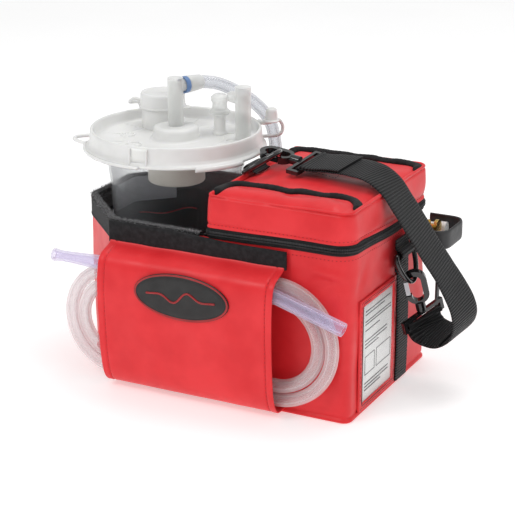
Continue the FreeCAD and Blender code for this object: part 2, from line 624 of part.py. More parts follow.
def build_lid_ports():
    cup = V(size("CupX"), size("CupY"), 0)
    arm = size("VacuumArm")
    elbow("vacuum_elbow", cup.x, cup.y, size("TurretTop") + 0.1, size("VacuumTop"), arm, VACUUM_WAY, 22,
          size("ElbowBore"))
    ring_start = cup + V(0, 0, arm) + VACUUM_WAY * 8.2
    ring = Part.makeCylinder(7.6, 4, ring_start, VACUUM_WAY)
    ring = ring.cut(Part.makeCylinder(6.1, 4, ring_start, VACUUM_WAY))
    named(shaped("elbow_ring_solid", ring), "elbow_ring")

    hose_start = cup + V(0, 0, arm) + VACUUM_WAY * 23.2
    points = [hose_start, hose_start + VACUUM_WAY * 8 + V(2, 0, 0), V(-52, 51, 238), V(-38, 61, 230),
              V(-25, 70, 219), V(-14, 76, 204), V(-8, 76.5, 184), V(-5.5, 74, 160), V(-5.5, 73, 135)]
    hose = round_bar(points, size("HoseOuter"))
    named(shaped("vacuum_hose_sweep", hose), "vacuum_hose")

    elbow("patient_elbow", size("PatientX"), size("PatientY"), size("CapLidFloor") + 0.6,
          size("PatientTop"), size("PatientArm"), PATIENT_WAY, 15, size("SpigotRadius") - 1)

    named(turned("tandem_cap_turn", [
        ("5.1", "SpigotTop - 3"), ("8.6", "SpigotTop - 3"), ("9.4", "SpigotTop - 1"),
        ("7.4", "SpigotTop + 4"),
        ("6.6", "SpigotTop + 11"), ("3.5", "SpigotTop + 15"), ("0.01", "SpigotTop + 15.5"),
        ("0.01", "SpigotTop"), ("5.1", "SpigotTop")],
        "TandemX", "TandemY"), "tandem_port_cap")
    named(turned("pour_cap_turn", [
        ("PourRadius + 0.1", "PourTop - 14"), ("PourCapRadius + 0.8", "PourTop - 14"),
        ("PourCapRadius + 0.8", "PourTop - 12.5"), ("PourCapRadius", "PourTop - 12.5"),
        ("PourCapRadius - 0.6", "PourTop"), ("0.01", "PourTop"), ("0.01", "PourTop - 2"),
        ("PourRadius + 0.1", "PourTop - 2")], "PourX", "PourY"), "pour_cap")

    ring_z = size("CapLidRingTop") + 1.4
    rim = size("CapLidRing") - size("CapLidWall") / 2
    loop_x = size("CupX") - rim * math.cos(math.radians(35))
    loop_y = size("CupY") + rim * math.sin(math.radians(35))
    cap_x = size("PourX") - size("PourCapRadius") * math.cos(math.radians(12)) - 2.3
    cap_y = size("PourY") + 2
    strip = round_bar([V(cap_x, cap_y, size("PourTop") - 13.3), V(cap_x - 9, cap_y - 1, size("PourTop") - 10),
                        V(cap_x - 17, cap_y - 3, size("PourTop") - 13), V(loop_x, loop_y, ring_z)], 2.4)
    named(shaped("pour_tether_sweep", strip), "pour_cap_tether")

    plug_x = size("CupX") + 71
    plug_y = size("CupY") + 47
    named(turned("plug_turn", [
        ("3.2", "0"), ("7", "0"), ("7", "1.4"), ("5.4", "1.4"), ("4.8", "11"), ("4", "12"), ("0.01", "12"),
        ("0.01", "10"), ("3.2", "10")], str(plug_x), str(plug_y), "CapLidRingTop + 2"), "port_plug")


# ---------------------------------------------------------------- pump module

def build_module():
    floor = "TrayFloor"
    half = "(TrayDepth/2)"
    outer = box("tray_outer", ("TrayLeft", "-" + half, floor), ("TrayLength", "TrayDepth", "TrayHeight"))
    room = box("tray_room", ("TrayLeft + TrayWall", "-%s + TrayWall" % half, floor + " + TrayWall"),
               ("TrayLength - 2*TrayWall", "TrayDepth - 2*TrayWall", "TrayHeight"))
    named(cut("tray_cut", outer, room), "module_tray")

    top_z = "(TrayFloor + TrayHeight + 0.05)"
    panel = box("panel_plate", ("TrayLeft", "-" + half, top_z), ("TrayLength", "TrayDepth", "3"))
    deck = "TrayFloor + TrayHeight - 5"
    gauge_hole = rod("gauge_hole", ("GaugeX", "GaugeY", deck), "GaugeRadius + 0.1", "20")
    knob_hole = rod("knob_hole", ("KnobX", "KnobY", deck), "ShaftRadius + RunClear", "20")
    corners = [("TrayLeft + 6", "-%s + 6" % half), ("TrayLeft + TrayLength - 6", "-%s + 6" % half),
               ("TrayLeft + 6", "%s - 6" % half), ("TrayLeft + TrayLength - 6", "%s - 6" % half)]
    screw_holes = [rod("screw_hole_%d" % i, (x, y, "TrayFloor + TrayHeight - 2"), "ScrewRadius + 0.1", "20")
                   for i, (x, y) in enumerate(corners)]
    hose_hole = rod("hose_hole", ("MotorX", "MotorBack - 60", "TrayFloor + TrayHeight - 5"), "4.1", "20")
    named(cut("panel_cut", panel, gauge_hole, knob_hole, hose_hole, *screw_holes), "module_cover")
    screws = [turned("screw_%d" % i, [("0.01", "-6"), ("ScrewRadius", "-6"), ("ScrewRadius", "3.05"),
                                      ("4", "3.05"), ("3.4", "5.4"), ("0.01", "5.4")], x, y, top_z)
              for i, (x, y) in enumerate(corners)]
    named(group("screw_set", *screws), "cover_screws")

    named(box("battery_block", ("TrayLeft + 8", "-%s + 8" % half, floor + " + TrayWall + 0.1"),
              ("BatteryLength", "BatteryDepth", "BatteryHeight - 12")), "battery")

    motor_z = "MotorZ"
    can = rod("motor_can", ("MotorX", "MotorBack - MotorLength", motor_z), "MotorRadius", "MotorLength", "y")
    shaft_way = rod("motor_way", ("MotorX", "MotorBack - MotorLength - 1", motor_z),
                    "ShaftRadius + RunClear", "MotorLength - 4", "y")
    named(cut("motor_cut", can, shaft_way), "motor")
    shaft = rod("shaft_rod", ("MotorX", "MotorBack - MotorLength - 16", motor_z), "ShaftRadius",
                "MotorLength", "y")
    crank = rod("crank_disc", ("MotorX", "MotorBack - MotorLength - 9", "MotorZ + CrankOffset"), "CrankRadius",
                "7", "y")
    named(fuse("motor_shaft_fuse", shaft, crank), "motor_shaft")

    big_end = rod("rod_big", ("MotorX", "MotorBack - MotorLength - 8.5", motor_z), "CrankRadius + 8", "6", "y")
    throat = rod("rod_throat", ("MotorX", "MotorBack - MotorLength - 10", motor_z),
                 "CrankRadius + CrankOffset + 0.3", "10", "y")
    shank = box("rod_shank", ("MotorX - 4", "MotorBack - MotorLength - 8.5", "MotorZ + CrankRadius + 5"),
                ("8", "6", "HeadBottom - MotorZ - CrankRadius - 5.1"))
    named(cut("rod_cut", fuse("rod_solid", big_end, shank), throat), "connecting_rod")

    head_y = "MotorBack - MotorLength - 5.5"
    named(turned("diaphragm_turn", [("0.01", "0"), ("5", "0"), ("12", "2"), ("19", "2"), ("19", "3.5"),
                                    ("0.01", "3.5")], "MotorX", head_y, "HeadBottom"), "diaphragm")
    named(turned("head_turn", [("12", "3.55"), ("20", "3.55"), ("20", "16"), ("4", "16"), ("4", "24"), ("2.5", "24"),
                               ("2.5", "12"), ("12", "12")], "MotorX", head_y, "HeadBottom"), "pump_head")

    named(box("board", ("TrayLeft + TrayLength - TrayWall - 2.4", "MotorBack - 62", "22"),
              ("1.6", "56", "66")), "circuit_board")
    knob = turned("knob_turn", [("0.01", "-8"), ("ShaftRadius", "-8"), ("ShaftRadius", "3.4"),
                                ("KnobRadius", "3.4"), ("KnobRadius - 1.5", "15"), ("0.01", "15")],
                  "KnobX", "KnobY", top_z)
    pointer = box("knob_pointer", ("KnobX - 1", "KnobY", top_z + " + 14"), ("2", "KnobRadius - 2", "2"))
    named(fuse("knob_fuse", knob, pointer), "regulator_knob")

    named(turned("gauge_turn", [("0.01", "-14"), ("GaugeRadius", "-14"), ("GaugeRadius", "3.2"),
                                ("GaugeRadius + 2.5", "3.2"), ("GaugeRadius + 2.5", "8"),
                                ("GaugeRadius - 0.5", "8"), ("GaugeRadius - 0.5", "4"), ("0.01", "4")],
                 "GaugeX", "GaugeY", top_z), "gauge_body")
    hub = rod("needle_hub", ("GaugeX", "GaugeY", top_z + " + 4.1"), "2.4", "1.6")
    hand = box("needle_hand", ("GaugeX - 15", "GaugeY - 0.5", top_z + " + 4.6"), ("17", "1", "0.6"))
    named(fuse("needle_fuse", hub, hand), "gauge_needle")


def build_slider():
    """The slider sits a little low, where the zipper sags across the end wall."""
    named(box("slider_block", ("BagLength/2 + 1.3", "34", "BagHeight - SliderDrop"), ("3", "12", "7")),
          "zipper_slider")
    named(box("pull_tab", ("BagLength/2 + 4.6", "17", "BagHeight - SliderDrop + 1"), ("1.2", "22", "5")),
          "zipper_pull")


def export_parts():
    doc.recompute()
    for obj in doc.Objects:
        if "Invalid" in obj.State or "Error" in obj.State:
            raise RuntimeError("%s did not build: %s" % (obj.Name, obj.State))
    for obj in SUBPARTS:
        if obj.Shape.isNull() or not obj.Shape.isValid() or not obj.Shape.Solids:
            raise RuntimeError("%s has no valid solid" % obj.Label)
        obj.Shape.exportStep("parts/%s.step" % obj.Label)
    print(len(SUBPARTS), "sub-parts")


build_case()
build_lid()
build_flap()
build_tubing()
build_end_wall()
build_rings()
build_hooks()
build_strap()
build_canister()
build_lid_ports()
build_module()
build_slider()
export_parts()
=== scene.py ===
import json
import math

import bmesh
import bpy
import numpy as np
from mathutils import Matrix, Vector, noise

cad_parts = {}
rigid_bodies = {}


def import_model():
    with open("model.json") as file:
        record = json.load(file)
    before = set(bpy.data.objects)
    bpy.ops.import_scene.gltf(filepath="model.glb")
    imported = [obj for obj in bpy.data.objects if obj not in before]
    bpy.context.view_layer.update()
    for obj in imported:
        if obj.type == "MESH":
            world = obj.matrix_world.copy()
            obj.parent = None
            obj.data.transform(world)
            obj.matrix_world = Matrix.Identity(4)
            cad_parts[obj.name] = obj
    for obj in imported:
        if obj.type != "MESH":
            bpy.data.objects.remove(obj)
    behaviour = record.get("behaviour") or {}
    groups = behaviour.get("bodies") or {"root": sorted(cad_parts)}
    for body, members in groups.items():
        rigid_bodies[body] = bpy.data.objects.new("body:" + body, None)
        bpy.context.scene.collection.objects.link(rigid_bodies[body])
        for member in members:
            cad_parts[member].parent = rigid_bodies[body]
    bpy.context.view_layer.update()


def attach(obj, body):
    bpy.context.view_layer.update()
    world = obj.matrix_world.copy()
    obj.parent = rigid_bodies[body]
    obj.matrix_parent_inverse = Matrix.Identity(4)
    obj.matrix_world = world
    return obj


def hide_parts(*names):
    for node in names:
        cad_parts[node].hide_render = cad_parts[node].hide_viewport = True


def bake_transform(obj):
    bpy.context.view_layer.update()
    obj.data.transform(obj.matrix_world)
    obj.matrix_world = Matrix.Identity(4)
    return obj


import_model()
MM = 0.001
CAD_NAMES = {item.name for item in bpy.data.objects if item.type == "MESH"}


# ------------------------------------------------------------------ materials


def new_material(name):
    mat = bpy.data.materials.new(name)
    mat.use_nodes = True
    tree = mat.node_tree
    return mat, tree, tree.nodes["Principled BSDF"]


def set_inputs(made, **inputs):
    """Fixed values for a node's inputs; an underscore stands for a space in an input's name."""
    for key, value in inputs.items():
        made.inputs[key.replace("_", " ")].default_value = value
    return made


def node(tree, kind, **inputs):
    return set_inputs(tree.nodes.new(kind), **inputs)


def object_coords(tree):
    """Object coordinates in millimetres, so that every pattern has a real size."""
    coords = tree.nodes.new("ShaderNodeTexCoord")
    mapping = node(tree, "ShaderNodeMapping", Scale=[1 / MM] * 3)
    tree.links.new(coords.outputs["Object"], mapping.inputs["Vector"])
    return mapping.outputs["Vector"]


def noise_tex(tree, coords, size_mm, detail=3.0):
    tex = node(tree, "ShaderNodeTexNoise", Scale=1.0 / size_mm, Detail=detail, Roughness=0.55)
    tree.links.new(coords, tex.inputs["Vector"])
    return tex.outputs["Fac"]


def ramp(tree, value, stops):
    made = tree.nodes.new("ShaderNodeValToRGB")
    tree.links.new(value, made.inputs["Fac"])
    elements = made.color_ramp.elements
    while len(elements) < len(stops):
        elements.new(0.5)
    for element, (place, colour) in zip(elements, stops):
        element.position = place
        element.color = (*colour, 1.0)
    return made.outputs["Color"]


def grey_stops(low, high, start=0.3, end=0.7):
    return [(start, (low,) * 3), (end, (high,) * 3)]


def bump(tree, shader, height, strength, distance_mm, below=None):
    made = node(tree, "ShaderNodeBump", Strength=strength, Distance=distance_mm * MM)
    tree.links.new(height, made.inputs["Height"])
    if below is not None:
        tree.links.new(below, made.inputs["Normal"])
    tree.links.new(made.outputs["Normal"], shader.inputs["Normal"])
    return made.outputs["Normal"]


def shade(tree, shader, low, high, coords, size_mm):
    """Base colour that clouds between two close tones."""
    colour = ramp(tree, noise_tex(tree, coords, size_mm), [(0.35, low), (0.65, high)])
    tree.links.new(colour, shader.inputs["Base Color"])


def coated_fabric(name):
    """Red vinyl-coated cloth: fine leather-like grain over a soft cloud of colour and polish."""
    mat, tree, shader = new_material(name)
    coords = object_coords(tree)
    shade(tree, shader, (0.73, 0.014, 0.020), (0.83, 0.027, 0.034), coords, 38)
    grain = node(tree, "ShaderNodeTexVoronoi", Scale=1 / 0.75)
    tree.links.new(coords, grain.inputs["Vector"])
    first = bump(tree, shader, grain.outputs["Distance"], 0.16, 0.12)
    bump(tree, shader, noise_tex(tree, coords, 9, 2), 0.25, 0.5, first)
    gloss = ramp(tree, noise_tex(tree, coords, 22), grey_stops(0.36, 0.47))
    tree.links.new(gloss, shader.inputs["Roughness"])
    set_inputs(shader, Specular_IOR_Level=0.38, Sheen_Weight=0.04)
    return mat


def woven(name, colour, light, step_mm):
    """Plain woven tape: two sets of fine ribs in object space."""
    mat, tree, shader = new_material(name)
    coords = object_coords(tree)
    shade(tree, shader, colour, light, coords, 5)
    below = None
    for bands in "XZ":
        wave = node(tree, "ShaderNodeTexWave", Scale=0.314 / step_mm, Distortion=0.6, Detail=1.0)
        wave.bands_direction = bands
        tree.links.new(coords, wave.inputs["Vector"])
        below = bump(tree, shader, wave.outputs["Fac"], 0.5, 0.25, below)
    set_inputs(shader, Roughness=0.72, Specular_IOR_Level=0.25, Sheen_Weight=0.06)
    return mat


def maths(tree, operation, *values):
    """A maths node; each value is a number or another node's output."""
    made = tree.nodes.new("ShaderNodeMath")
    made.operation = operation
    for socket, value in zip(made.inputs, values):
        if isinstance(value, (int, float)):
            socket.default_value = value
        else:
            tree.links.new(value, socket)
    return made.outputs[0]


RIB_STEP, THREAD_STEP = 2.5, 1.3


def ribbed_webbing(name):
    """Nylon webbing; ribs follow the piece's own UVs, U along it and V across, both in millimetres."""
    mat, tree, shader = new_material(name)
    uv = tree.nodes.new("ShaderNodeTexCoord")
    split = tree.nodes.new("ShaderNodeSeparateXYZ")
    tree.links.new(uv.outputs["UV"], split.inputs["Vector"])
    ribs, threads = [maths(tree, "SINE", maths(tree, "MULTIPLY", split.outputs[axis], 2 * math.pi / step))
                     for axis, step in (("X", RIB_STEP), ("Y", THREAD_STEP))]
    both = maths(tree, "MULTIPLY_ADD", threads, 0.22, ribs)
    # Painted shade and painted highlight: the colour is darkest in the rib valleys and lightest on the
    # crests, following the bump height.
    colour = ramp(tree, both, [(0.25, (0.002, 0.002, 0.003)), (0.9, (0.034, 0.034, 0.035))])
    tree.links.new(colour, shader.inputs["Base Color"])
    bump(tree, shader, both, 1.0, 0.5)
    set_inputs(shader, Roughness=0.55, Specular_IOR_Level=0.3, Sheen_Weight=0.05)
    return mat


def pile(name, colour, light, size_mm, strength):
    """Fuzzy hook-and-loop pile, or brushed lining."""
    mat, tree, shader = new_material(name)
    coords = object_coords(tree)
    shade(tree, shader, colour, light, coords, size_mm)
    bump(tree, shader, noise_tex(tree, coords, size_mm * 0.7, 4), strength, 0.6)
    set_inputs(shader, Roughness=0.95, Sheen_Weight=0.12)
    return mat


def moulded(name, colour, light, rough=0.3, grain_mm=0.8, grain=0.05, metal=0.0, coat=0.0):
    mat, tree, shader = new_material(name)
    coords = object_coords(tree)
    shade(tree, shader, colour, light, coords, 14)
    bump(tree, shader, noise_tex(tree, coords, grain_mm, 3), grain, 0.2)
    gloss = ramp(tree, noise_tex(tree, coords, 11), grey_stops(rough * 0.85, min(1.0, rough * 1.2)))
    tree.links.new(gloss, shader.inputs["Roughness"])
    set_inputs(shader, Metallic=metal, Coat_Weight=coat)
    return mat


def milky(name, colour, light, clear):
    """Natural polypropylene: white, slightly see-through, glowing where it is thin."""
    mat, tree, shader = new_material(name)
    coords = object_coords(tree)
    shade(tree, shader, colour, light, coords, 26)
    bump(tree, shader, noise_tex(tree, coords, 3.0, 2), 0.05, 0.3)
    set_inputs(shader, Roughness=0.27, Subsurface_Weight=0.55, Subsurface_Radius=(0.006, 0.006, 0.0055),
               Transmission_Weight=clear, IOR=1.45)
    return mat


def clear_plastic(name, tint, see, rough, haze, edge=0.92, ripple=0.06):
    """Thin clear plastic: mostly see-through, with glossy rims that thicken at grazing angles."""
    mat, tree, shader = new_material(name)
    coords = object_coords(tree)
    out = tree.nodes["Material Output"]
    through = node(tree, "ShaderNodeBsdfTransparent", Color=(*tint, 1.0))
    mix = tree.nodes.new("ShaderNodeMixShader")
    facing = node(tree, "ShaderNodeLayerWeight", Blend=0.32)
    curve = ramp(tree, facing.outputs["Facing"], grey_stops(1 - see, edge, 0.0, 1.0))
    tree.links.new(curve, mix.inputs[0])
    tree.links.new(through.outputs[0], mix.inputs[1])
    tree.links.new(shader.outputs[0], mix.inputs[2])
    tree.links.new(mix.outputs[0], out.inputs["Surface"])
    shade(tree, shader, tuple(c * 0.93 for c in haze), haze, coords, 18)
    bump(tree, shader, noise_tex(tree, coords, 14, 2), ripple, 0.6)
    set_inputs(shader, Roughness=rough, Specular_IOR_Level=0.9)
    return mat


def painted_glow(mat, colour, strength):
    """Painted glow: emission standing in for light that reaches a piece through the thin plastic round it.
    """
    shader = mat.node_tree.nodes["Principled BSDF"]
    set_inputs(shader, Emission_Color=(*colour, 1.0), Emission_Strength=strength)
    return mat


RED = coated_fabric("coated_red_fabric")
LINING = pile("black_lining", (0.006, 0.006, 0.007), (0.022, 0.022, 0.024), 1.6, 0.4)
FUZZ = pile("hook_and_loop", (0.008, 0.008, 0.009), (0.11, 0.11, 0.115), 0.8, 1.0)
BINDING = woven("binding_tape", (0.004, 0.004, 0.005), (0.013, 0.013, 0.014), 0.9)
TAPE = woven("zipper_tape", (0.004, 0.004, 0.005), (0.012, 0.012, 0.013), 0.8)
TEETH = moulded("zipper_teeth", (0.012, 0.012, 0.013), (0.03, 0.03, 0.032), 0.38)
WEBBING = ribbed_webbing("ribbed_webbing")
THREAD = moulded("dark_thread", (0.20, 0.008, 0.012), (0.30, 0.014, 0.018), 0.7, 0.3, 0.3)
FLAP_THREAD = moulded("flap_thread", (0.50, 0.018, 0.026), (0.62, 0.03, 0.04), 0.6, 0.3, 0.3)
RED_THREAD = moulded("red_thread", (0.62, 0.02, 0.03), (0.8, 0.05, 0.06), 0.6, 0.3, 0.3)
BLACK_THREAD = moulded("black_thread", (0.01, 0.01, 0.011), (0.03, 0.03, 0.03), 0.6, 0.3, 0.3)
BLACK_PLASTIC = moulded("gloss_black_plastic", (0.010, 0.010, 0.011), (0.017, 0.017, 0.018), 0.15, 2.0,
                        0.03, 0, 0.5)
BLACK_METAL = moulded("black_coated_metal", (0.014, 0.014, 0.015), (0.03, 0.03, 0.032), 0.42, 0.5, 0.12)
BADGE_RUBBER = moulded("badge_rubber", (0.008, 0.007, 0.007), (0.015, 0.014, 0.014), 0.5, 0.6, 0.12)
BADGE_RED = moulded("badge_red", (0.30, 0.010, 0.012), (0.40, 0.018, 0.020), 0.45, 0.6, 0.1)
BRASS = moulded("turned_brass", (0.62, 0.44, 0.13), (0.80, 0.62, 0.26), 0.25, 0.5, 0.1, 1.0)
CHROME = moulded("chrome", (0.75, 0.75, 0.76), (0.88, 0.88, 0.89), 0.12, 1.0, 0.02, 1.0)
STEEL = moulded("machined_steel", (0.42, 0.42, 0.44), (0.58, 0.58, 0.60), 0.35, 0.4, 0.15, 1.0)
MILKY = milky("milky_plastic", (0.84, 0.84, 0.825), (0.89, 0.89, 0.88), 0.06)
WHITE_CAP = milky("white_cap", (0.82, 0.82, 0.80), (0.88, 0.88, 0.86), 0.02)
FROST = clear_plastic("frosted_elbow", (0.96, 0.965, 0.96), 0.64, 0.30, (0.90, 0.905, 0.89), 0.95)
# Warm grey plastic with a painted glow: emission standing in for light that comes through the lid and cup.
GREY = painted_glow(moulded("warm_grey_plastic", (0.66, 0.62, 0.55), (0.74, 0.70, 0.63), 0.4, 1.0, 0.06),
               (0.74, 0.70, 0.63), 0.14)
BLUE = moulded("blue_ring", (0.10, 0.20, 0.42), (0.17, 0.28, 0.52), 0.28)
CLEAR_CUP = clear_plastic("clear_cup", (0.985, 0.988, 0.99), 0.985, 0.04, (0.42, 0.43, 0.45), 0.62)
CLEAR_TUBE = clear_plastic("clear_tube", (0.98, 0.972, 0.975), 0.84, 0.20, (0.96, 0.88, 0.89), 0.85, 0.01)
CLEAR_TIP = clear_plastic("violet_tip", (0.95, 0.93, 0.985), 0.86, 0.16, (0.80, 0.76, 0.93), 0.85, 0.01)
CLEAR_HOSE = clear_plastic("clear_hose", (0.95, 0.955, 0.965), 0.86, 0.06, (0.72, 0.73, 0.77))
CLEAR_PANE = clear_plastic("label_pane", (0.995, 0.995, 0.995), 0.98, 0.08, (0.9, 0.9, 0.9), 0.16)
CARD = moulded("label_card", (0.90, 0.90, 0.89), (0.94, 0.94, 0.93), 0.6, 0.5, 0.03)
PRINT = moulded("grey_print", (0.06, 0.06, 0.065), (0.10, 0.10, 0.105), 0.6)
# Grey patch with a painted glow: emission that makes it look lit where little real light reaches.
PATCH_GREY = painted_glow(pile("grey_patch", (0.30, 0.31, 0.33), (0.40, 0.41, 0.43), 1.2, 0.3),
                     (0.3, 0.31, 0.34), 0.12)
LOOP_GREY = pile("loop_grey", (0.14, 0.14, 0.145), (0.46, 0.46, 0.47), 1.0, 0.3)
BAND = woven("hook_tape", (0.006, 0.006, 0.007), (0.019, 0.019, 0.021), 0.9)
RUBBER = moulded("seal_rubber", (0.05, 0.05, 0.055), (0.09, 0.09, 0.095), 0.7, 0.6, 0.2)
CASE_PLASTIC = moulded("module_plastic", (0.06, 0.062, 0.066), (0.10, 0.102, 0.108), 0.5, 0.5, 0.3)
DIAL = moulded("gauge_face", (0.75, 0.75, 0.74), (0.82, 0.82, 0.81), 0.4)
BOARD = moulded("circuit_board", (0.01, 0.12, 0.04), (0.02, 0.2, 0.07), 0.4)
NEEDLE = moulded("needle_red", (0.5, 0.01, 0.01), (0.65, 0.02, 0.02), 0.3)


# ------------------------------------------------------------------ mesh tools


def mesh_object(name, points_mm, faces, materials, smooth=True):
    mesh = bpy.data.meshes.new(name)
    mesh.from_pydata([tuple(c * MM for c in p) for p in points_mm], [], faces)
    mesh.validate()
    if not isinstance(materials, (list, tuple)):
        materials = [materials]
    for mat in materials:
        mesh.materials.append(mat)
    if smooth:
        mesh.polygons.foreach_set("use_smooth", [True] * len(mesh.polygons))
    mesh.update()
    obj = bpy.data.objects.new(name, mesh)
    bpy.context.scene.collection.objects.link(obj)
    return obj


def grid_faces(rows, columns, wrap_columns, wrap_rows):
    faces = []
    for i in range(rows if wrap_rows else rows - 1):
        for j in range(columns if wrap_columns else columns - 1):
            below = ((i + 1) % rows) * columns
            right = (j + 1) % columns
            faces.append((i * columns + j, i * columns + right, below + right, below + j))
    return faces


def grid_object(name, rows, materials, wrap_columns=False, wrap_rows=False):
    columns = len(rows[0])
    points = [p for row in rows for p in row]
    return mesh_object(name, points, grid_faces(len(rows), columns, wrap_columns, wrap_rows), materials)


def add_modifier(obj, kind, **settings):
    made = obj.modifiers.new(kind.lower(), kind)
    for key, value in settings.items():
        setattr(made, key, value)
    return made


def apply_modifiers(obj):
    graph = bpy.context.evaluated_depsgraph_get()
    done = bpy.data.meshes.new_from_object(obj.evaluated_get(graph))
    obj.modifiers.clear()
    obj.data = done
    return obj


def sheet(name, rows, mat, thick):
    """A grid given a thickness, half of it on each side."""
    obj = grid_object(name, rows, mat)
    add_modifier(obj, "SOLIDIFY", thickness=thick * MM, offset=0)
    return apply_modifiers(obj)


def joined(name, objects):
    """Several meshes as one piece, keeping their materials."""
    bpy.ops.object.select_all(action="DESELECT")
    for obj in objects:
        obj.select_set(True)
    bpy.context.view_layer.objects.active = objects[0]
    bpy.ops.object.join()
    objects[0].name = name
    return objects[0]


def on_body(obj, body, slot_name, *replaced):
    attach(obj, body)
    if replaced:
        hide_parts(*replaced)
    return obj


CURVE_PARTS = 16


def smooth_line(points, steps):
    """Catmull-Rom line through the points, evenly resampled."""
    pts = [Vector(p) for p in points]
    padded = [pts[0]] + pts + [pts[-1]]
    fine = []
    for p0, p1, p2, p3 in zip(padded, padded[1:], padded[2:], padded[3:]):
        for k in range(CURVE_PARTS):
            t = k / CURVE_PARTS
            fine.append(0.5 * ((2 * p1) + (p2 - p0) * t + (2 * p0 - 5 * p1 + 4 * p2 - p3) * t * t
                               + (3 * p1 - p0 - 3 * p2 + p3) * t ** 3))
    fine.append(pts[-1])
    return resampled(fine, steps)


def resampled(line, steps, closed=False):
    """The line cut into equal lengths; a closed line leaves out its repeated first point."""
    pts = [Vector(p) for p in line]
    if closed:
        pts = pts + [pts[0]]
    lengths = [0.0]
    for a, b in zip(pts, pts[1:]):
        lengths.append(lengths[-1] + (b - a).length)
    out = []
    k = 0
    for i in range(steps if closed else steps + 1):
        want = lengths[-1] * i / steps
        while k < len(pts) - 2 and lengths[k + 1] < want:
            k += 1
        part = (want - lengths[k]) / max(1e-9, lengths[k + 1] - lengths[k])
        out.append(pts[k].lerp(pts[k + 1], min(1.0, part)))
    return out


def frames_along(line, closed=False):
    """(point, forward, side, up) at each point, carried along without twisting."""
    frames = []
    count = len(line)
    side = None
    for i, p in enumerate(line):
        before = line[i - 1] if closed or i else line[0]
        after = line[(i + 1) % count] if closed or i + 1 < count else line[-1]
        way = (after - before).normalized()
        if side is None:
            side = way.cross(Vector((0, 0, 1)))
            if side.length < 1e-3:
                side = way.cross(Vector((1, 0, 0)))
        side = (side - way * side.dot(way)).normalized()
        frames.append((p, way, side, side.cross(way)))
    return frames


def ring(centre, side, up, radius, sides):
    """Points round a circle that the two directions span."""
    return [centre + side * (radius * math.cos(a)) + up * (radius * math.sin(a))
            for a in (2 * math.pi * k / sides for k in range(sides))]


def tube_rows(line, radius, sides, closed=False):
    return [ring(p, side, high, radius, sides) for p, _, side, high in frames_along(line, closed)]


def bar(name, line, radius, mat, sides=20, closed=False):
    """A solid round bar with rounded-off ends."""
    rows = tube_rows(line, radius, sides, closed)
    if closed:
        return grid_object(name, rows, mat, True, True)
    ends = []
    for row, inward in ((rows[0], rows[1]), (rows[-1], rows[-2])):
        centre = sum(row, Vector()) / sides
        push = (centre - sum(inward, Vector()) / sides).normalized()
        r = (row[0] - centre).length
        ends.append([[centre + push * (r * 0.3) + (p - centre) * 0.8 for p in row],
                     [centre + push * (r * 0.42) + (p - centre) * 0.02 for p in row]])
    rows = ends[0][::-1] + rows + ends[1]
    return grid_object(name, rows, mat, True)


def pipe(name, line, outer, inner, mat, sides):
    """A hollow tube: outer skin, inner skin and two flat ring ends."""
    rows = tube_rows(line, outer, sides) + tube_rows(line, inner, sides)[::-1]
    return grid_object(name, rows, mat, True, True)


def lathe(name, corners, fillet, centre, mat, sides, way=(0, 0, 1), steps=3):
    """Turned piece: corners are (radius, height) pairs along the given way, each with a small fillet."""
    way = Vector(way).normalized()
    side = way.orthogonal().normalized()
    other = way.cross(side)
    rows = [ring(Vector(centre) + way * z, side, other, max(r, 0.001), sides)
            for r, z in rounded_profile(corners, fillet, steps)]
    return grid_object(name, rows, mat, True, True)


def rounded_profile(corners, radius, steps):
    """The (radius, height) corners with small fillets."""
    count = len(corners)
    out = []
    for i, corner in enumerate(corners):
        p = Vector(corner)
        a = Vector(corners[i - 1]) - p
        b = Vector(corners[(i + 1) % count]) - p
        cut = min(radius, a.length * 0.45, b.length * 0.45)
        p0 = p + a.normalized() * cut
        p1 = p + b.normalized() * cut
        for k in range(steps + 1):
            t = k / steps
            out.append(tuple(p0.lerp(p, t).lerp(p.lerp(p1, t), t)))
    return out


AROUND = 300


def rounded_outline(corners, radii):
    """Evenly spaced points and outward normals round a counter-clockwise polygon with rounded corners."""
    dense = []
    total = len(corners)
    for i, corner in enumerate(corners):
        p = Vector((*corner, 0))
        a = (Vector((*corners[i - 1], 0)) - p).normalized()
        b = (Vector((*corners[(i + 1) % total], 0)) - p).normalized()
        half = a.angle(b) / 2
        cut = radii[i] / math.tan(half)
        centre = p + (a + b).normalized() * (radii[i] / math.sin(half))
        from_way = (p + a * cut - centre).normalized()
        to_way = (p + b * cut - centre).normalized()
        dense += [centre + from_way.slerp(to_way, k / 12) * radii[i] for k in range(13)]
    points = resampled(dense, AROUND, True)
    normals = []
    for i, p in enumerate(points):
        way = points[(i + 1) % AROUND] - points[i - 1]
        normals.append(Vector((way.y, -way.x, 0)).normalized())
    return points, normals


def fbm(p, size_mm, seed=0.0):
    """Smooth noise between about -1 and 1 with the given feature size."""
    return noise.noise(Vector(p) / size_mm + Vector((seed, 2 * seed, -seed)))


def clip(x):
    return max(0.0, min(1.0, x))


def bell(x, middle, width):
    return math.exp(-((x - middle) / width) ** 2)


